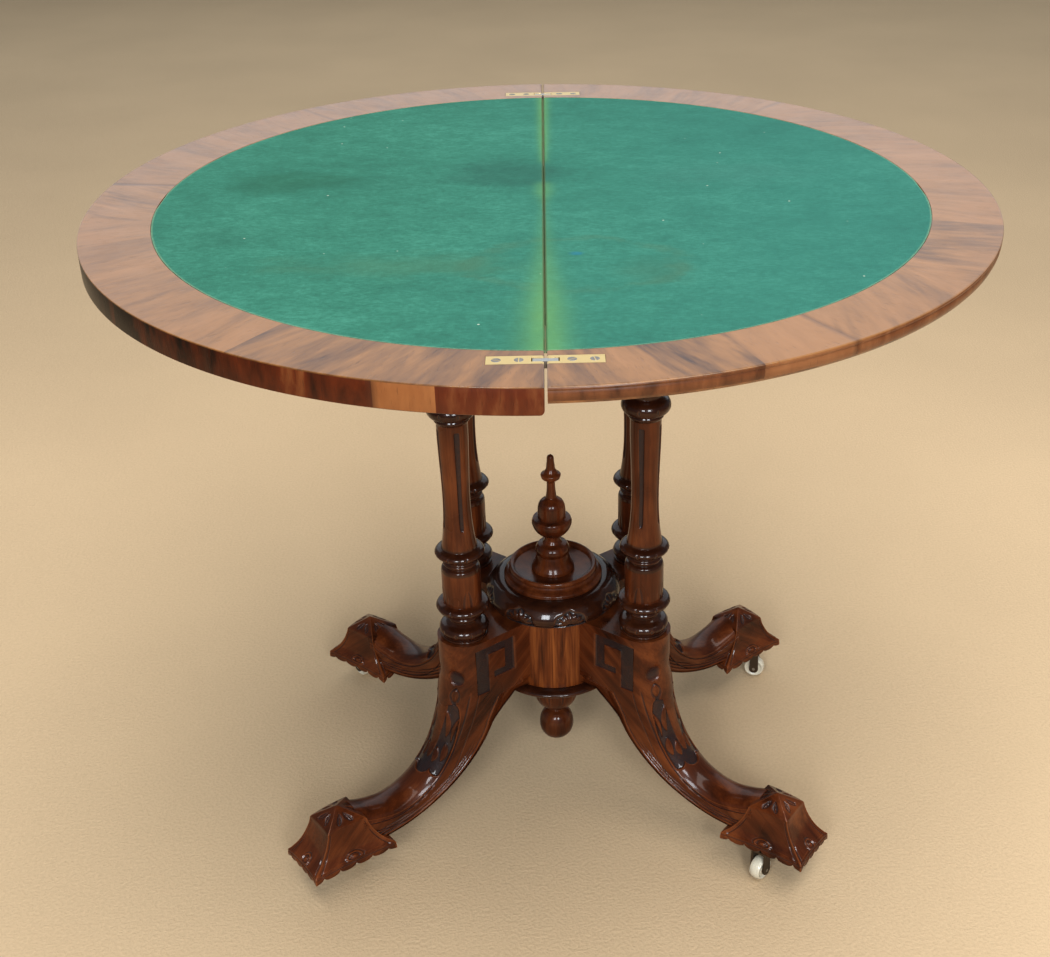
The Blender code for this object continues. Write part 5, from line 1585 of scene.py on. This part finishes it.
class CARDTABLE_OT_leaves(bpy.types.Operator):
    """Build the two leaves of the top in crossbanded walnut."""

    bl_idname = "card_table.leaves"
    bl_label = "Leaves"

    def execute(self, context):
        sizes, colours = context.scene.card_table_sizes, context.scene.card_table_colours
        radius, arris = sizes.top_radius, SMALL_ARRIS
        lip, thickness = TOP_HEIGHT - LIP_UNDERSIDE, TOP_HEIGHT - LEAF_UNDERSIDE
        square = [(arris, 0.0), (arris * 0.3, arris * 0.3), (0.0, arris), (0.0, lip - arris)]
        square += [(arris, lip), (LIP_WIDTH, lip), (LIP_WIDTH, thickness)]
        bare = board_wood("leaf_underside", (0.07, 0.032, 0.016), (0.20, 0.105, 0.055), 1, 0.55)
        shut = matched_veneer("shut_top_veneer", *SHUT_TOP_COLOURS)
        lower = (LOWER_BANDING, LOWER_EDGE_BANDING, LOWER_EDGE_COLOURS)
        upper = (UPPER_BANDING, UPPER_BANDING, UPPER_EDGE_COLOURS)
        leaves = (
            (
                "lower", -1, square, lip, FOLD_END_ROUNDING, lower, bare,
                ("lower_leaf_board", "lower_leaf_rim"),
            ),
            ("upper", 1, MOULDING, thickness, FOLD_ARRIS, upper, shut, ("upper_leaf_board",)),
        )
        for name, side, edge, underside, rounding, banding, inner, replaced in leaves:
            veneer = crossbanded_veneer(f"crossbanding_{name}", colours, float(side), *banding, radius)
            profile = leaf_outline(radius, sizes.baize_radius, edge)
            mesh = leaf_mesh(f"{name}_leaf", side, profile, underside, rounding, radius)
            sort_leaf_faces(mesh, side)
            finishes = [veneer, inner]
            new_piece(f"{name}_leaf_veneered", mesh, finishes, f"{name}_leaf", "figured_walnut", *replaced)
        return {"FINISHED"}


class CARDTABLE_OT_baize(bpy.types.Operator):
    """Lay the green baize in both leaves."""

    bl_idname = "card_table.baize"
    bl_label = "Baize"

    def execute(self, context):
        sizes, colours = context.scene.card_table_sizes, context.scene.card_table_colours
        cloth = worn_baize("baize", colours.baize_green, colours.baize_worn, sizes.baize_radius)
        radius = sizes.baize_radius
        for leaf, side in (("lower_leaf", -1), ("upper_leaf", 1)):
            mesh = baize_sheet(f"{leaf}_cloth", side, radius, sizes.cloth_thickness)
            piece = new_piece(f"{leaf}_cloth", mesh, [cloth], leaf, "green_baize", f"{leaf}_baize")
        return {"FINISHED"}


class CARDTABLE_OT_hinges(bpy.types.Operator):
    """Finish the brass hinges and drive their screws."""

    bl_idname = "card_table.hinges"
    bl_label = "Hinges"

    def execute(self, context):
        colours = context.scene.card_table_colours
        brass = aged_metal("hinge_brass", colours.brass, (0.16, 0.10, 0.05), 0.30)
        steel = aged_metal("hinge_steel", colours.steel, (0.10, 0.08, 0.07), 0.34)
        screws = aged_metal("screw_steel", (0.30, 0.28, 0.26), (0.05, 0.04, 0.035), 0.38)
        names = list(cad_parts)
        refinish([name for name in names if name.startswith("hinge_") and name.endswith("_plate")], brass)
        fixings = [name for name in names if name.startswith("hinge_") and name.endswith(("_pin", "_link"))]
        refinish(fixings, steel)
        number = 0
        for place, y in HINGE_PLACES.items():
            for leaf, side in (("lower_leaf", -1), ("upper_leaf", 1)):
                for distance in SCREW_PLACES:
                    number += 1
                    name = f"hinge_screw_{place}_{leaf}_{number}"
                    mesh = screw_mesh(name, side * distance, y, FIRST_SLOT_TURN + number * SLOT_TURN_STEP)
                    new_piece(name, mesh, [screws], leaf, "steel")
        return {"FINISHED"}


class CARDTABLE_OT_frame(bpy.types.Operator):
    """Finish the rails, the platform and the swivel under the top."""

    bl_idname = "card_table.frame"
    bl_label = "Frame and swivel"

    def execute(self, context):
        colours = context.scene.card_table_colours
        pine = colours.pine
        dark_pine = [channel * 0.45 for channel in pine]
        refinish(["frame_rail_front", "frame_rail_back"], board_wood("pine_long", dark_pine, pine, 0, 0.6))
        short = board_wood("pine_short", dark_pine, pine, 1, 0.6)
        refinish(["frame_rail_left", "frame_rail_right", "pivot_block", "stop_block"], short)
        walnut = board_wood("platform_walnut", (0.030, 0.011, 0.005), (0.100, 0.036, 0.016), 0, 0.40)
        refinish(["frame_platform"], walnut)
        iron = aged_metal("swivel_iron", colours.iron, (0.09, 0.04, 0.02), 0.45)
        refinish(["pivot_bolt", "pivot_washer", "pivot_nut"], iron)
        return {"FINISHED"}


class CARDTABLE_OT_columns(bpy.types.Operator):
    """Turn and carve the four columns."""

    bl_idname = "card_table.columns"
    bl_label = "Columns"

    def execute(self, context):
        sizes = context.scene.card_table_sizes
        profile = column_outline(sizes.turning_spacing)
        walnut = bpy.data.materials["base_walnut"]
        for number, (corner, angle) in enumerate(CORNERS.items()):
            centre = (COLUMN_REACH * cos(angle), COLUMN_REACH * sin(angle))
            relief = column_relief(corner, sizes.flute_depth)
            name = f"column_{corner}_carved"
            turn, stain = FLUTE_TURNS[corner], column_stain(profile[:, 1:])
            mesh = turned_mesh(name, profile, sizes.column_points, centre, relief, turn, number + 1, stain)
            new_piece(name, mesh, [walnut], "base", "dark_walnut", f"column_{corner}")
        return {"FINISHED"}


class CARDTABLE_OT_centre(bpy.types.Operator):
    """Turn the drum, its rings, the lid, the finial and the drop."""

    bl_idname = "card_table.centre"
    bl_label = "Centre of the base"

    def execute(self, context):
        sizes, colours = context.scene.card_table_sizes, context.scene.card_table_colours
        shades = (colours.walnut_deep, colours.walnut_middle, colours.walnut_light)
        walnut = polished_walnut("base_walnut", *shades)
        drum = drum_walnut("drum_walnut", colours.drum_deep, colours.drum_middle, colours.drum_light)
        spacing = sizes.turning_spacing
        marks = [(0.5, 1, 1), (1, 1, 1), (1, 0, 1), (0.5, 0, 1)]
        drum_sizes = (DRUM_HIGH.x, DRUM_HIGH.z - DRUM_LOW.z, DRUM_LOW.z)
        pieces = (
            ("drum", marks, drum_sizes, 144, None, drum, "drum_walnut", 0.0),
            ("carved_ring", RING_OUTLINE, RING_SIZES, 288, ring_carving, walnut, "dark_walnut", 0.90),
            ("lid", LID_OUTLINE, LID_SIZES, 128, None, walnut, "dark_walnut", 0.20),
            ("finial", FINIAL_OUTLINE, FINIAL_SIZES, 72, None, walnut, "dark_walnut", 0.0),
            ("drum_base_ring", BASE_RING_OUTLINE, BASE_RING_SIZES, 128, None, walnut, "dark_walnut", 0.85),
            ("drop", DROP_OUTLINE, DROP_SIZES, 90, drop_carving, walnut, "dark_walnut", 0.30),
        )
        for number, (node, outline, piece_sizes, around, relief, finish, slot, stain) in enumerate(pieces):
            profile = shares_outline(outline, piece_sizes, spacing)
            mesh = turned_mesh(f"{node}_turned", profile, around, (0, 0), relief, 0.0, number + 7, stain)
            new_piece(f"{node}_turned", mesh, [finish], "base", slot, node)
        return {"FINISHED"}


class CARDTABLE_OT_legs(bpy.types.Operator):
    """Carve the four legs and their hooded feet."""

    bl_idname = "card_table.legs"
    bl_label = "Legs and feet"

    def execute(self, context):
        walnut = bpy.data.materials["base_walnut"]
        leg, leg_dark = carved_leg()
        foot, foot_dark = foot_rows()
        for number, (corner, angle) in enumerate(CORNERS.items()):
            parts = (("leg", leg, leg_dark, number + 1), ("foot", foot, foot_dark, number + 5))
            for part, rows, dark, seed in parts:
                name = f"{part}_{corner}_carved"
                mesh = skinned(name, set_at(rows, angle), leg_grain(rows, seed), dark)
                new_piece(name, mesh, [walnut], "base", "dark_walnut", f"leg_{corner}")
        return {"FINISHED"}


class CARDTABLE_OT_castors(bpy.types.Operator):
    """Finish the castors and throw their ceramic wheels."""

    bl_idname = "card_table.castors"
    bl_label = "Castors"

    def execute(self, context):
        colours = context.scene.card_table_colours
        brass = aged_metal("castor_brass", colours.brass, (0.10, 0.065, 0.035), 0.36, cover=0.8)
        iron = aged_metal("castor_iron", (0.12, 0.095, 0.075), (0.07, 0.04, 0.025), 0.42)
        steel = aged_metal("axle_steel", colours.steel, (0.10, 0.08, 0.06), 0.36)
        ceramic = glazed_ceramic("castor_ceramic", colours.ceramic, (0.10, 0.045, 0.02))
        for corner in CORNERS:
            refinish([f"castor_{corner}_plate"], brass)
            refinish([f"castor_{corner}_fork"], iron)
            refinish([f"castor_{corner}_axle"], steel)
            name = f"castor_{corner}_wheel_glazed"
            body, node = f"castor_{corner}_roller", f"castor_{corner}_wheel"
            new_piece(name, wheel_mesh(name, corner), [ceramic], body, "castor_ceramic", node)
        return {"FINISHED"}


def area_light(name, place, aim, size, power, colour):
    """A rectangular light that faces its aim."""
    light = bpy.data.lights.new(name, "AREA")
    light.shape, light.size, light.size_y = "RECTANGLE", size[0], size[1]
    light.energy, light.color = power, colour
    obj = linked_object(name, light)
    obj.location = place
    obj.rotation_euler = (Vector(aim) - Vector(place)).to_track_quat("-Z", "Y").to_euler()


def set_camera(settings):
    """Stands the camera where the photographer stood."""
    camera = bpy.data.cameras.new("camera")
    camera.sensor_fit, camera.sensor_width = "HORIZONTAL", SENSOR_WIDTH
    camera.lens = FOCAL_LENGTH / PHOTO_WIDTH * SENSOR_WIDTH
    camera.shift_x = (PHOTO_WIDTH / 2 - VIEW_MIDDLE) / PHOTO_WIDTH
    camera.clip_start = 0.05
    obj = linked_object("camera", camera)
    yaw, pitch, roll = settings.camera_yaw, settings.camera_pitch, settings.camera_roll
    forward = Vector((sin(yaw) * cos(pitch), cos(yaw) * cos(pitch), -sin(pitch)))
    level = Vector((cos(yaw), -sin(yaw), 0))
    rise = level.cross(forward)
    right = cos(roll) * level + sin(roll) * rise
    up = -sin(roll) * level + cos(roll) * rise
    turn = Matrix((right, up, -forward)).transposed().to_4x4()
    obj.matrix_world = Matrix.Translation(settings.camera_place) @ turn
    bpy.context.scene.camera = obj


class CARDTABLE_OT_stage(bpy.types.Operator):
    """Set the floor, the lights and the camera."""

    bl_idname = "card_table.stage"
    bl_label = "Stage"

    def execute(self, context):
        settings, colours = context.scene.card_table_stage, context.scene.card_table_colours
        turn = np.arange(FLOOR_POINTS) / FLOOR_POINTS * 2 * pi
        circle = np.stack([np.cos(turn), np.sin(turn), 0 * turn], axis=-1)
        rows = np.array(FLOOR_RADII)[:, None, None] * circle
        faces = grid_faces(len(FLOOR_RADII), FLOOR_POINTS) + [list(range(FLOOR_POINTS))]
        mesh = mesh_of("floor", rows, faces)
        tidy_normals(mesh)
        mesh.materials.append(floor_finish("pale_floor", colours.floor))
        linked_object("floor", mesh)
        world = bpy.data.worlds.new("room")
        world.use_nodes = True
        background = world.node_tree.nodes["Background"]
        background.inputs["Color"].default_value = ROOM_COLOUR
        background.inputs["Strength"].default_value = ROOM_STRENGTH
        context.scene.world = world
        context.scene.view_settings.view_transform = "Standard"
        context.scene.view_settings.look = "Medium High Contrast"
        for name, place, aim, size, power, colour in LIGHTS:
            area_light(name, place, aim, size, getattr(settings, power), colour)
        set_camera(settings)
        return {"FINISHED"}


class CARDTABLE_PT_pieces(bpy.types.Panel):
    """The pieces of the card table, in the order that they are made."""

    bl_idname = "CARDTABLE_PT_pieces"
    bl_label = "Card table"
    bl_space_type = "VIEW_3D"
    bl_region_type = "UI"
    bl_category = "Card table"

    def draw(self, context):
        for operator in OPERATORS:
            self.layout.operator(operator.bl_idname)


OPERATORS = (
    CARDTABLE_OT_stage, CARDTABLE_OT_leaves, CARDTABLE_OT_baize, CARDTABLE_OT_hinges, CARDTABLE_OT_frame,
    CARDTABLE_OT_centre, CARDTABLE_OT_columns, CARDTABLE_OT_legs, CARDTABLE_OT_castors,
)
CLASSES = (CardTableSizes, CardTableColours, CardTableStage, *OPERATORS, CARDTABLE_PT_pieces)


def register():
    for item in CLASSES:
        bpy.utils.register_class(item)
    bpy.types.Scene.card_table_sizes = PointerProperty(type=CardTableSizes)
    bpy.types.Scene.card_table_colours = PointerProperty(type=CardTableColours)
    bpy.types.Scene.card_table_stage = PointerProperty(type=CardTableStage)


def unregister():
    del bpy.types.Scene.card_table_stage
    del bpy.types.Scene.card_table_colours
    del bpy.types.Scene.card_table_sizes
    for item in reversed(CLASSES):
        bpy.utils.unregister_class(item)


def main():
    register()
    bpy.ops.card_table.stage()
    bpy.ops.card_table.leaves()
    bpy.ops.card_table.baize()
    bpy.ops.card_table.hinges()
    bpy.ops.card_table.frame()
    bpy.ops.card_table.centre()
    bpy.ops.card_table.columns()
    bpy.ops.card_table.legs()
    bpy.ops.card_table.castors()


if __name__ == "__main__":
    main()
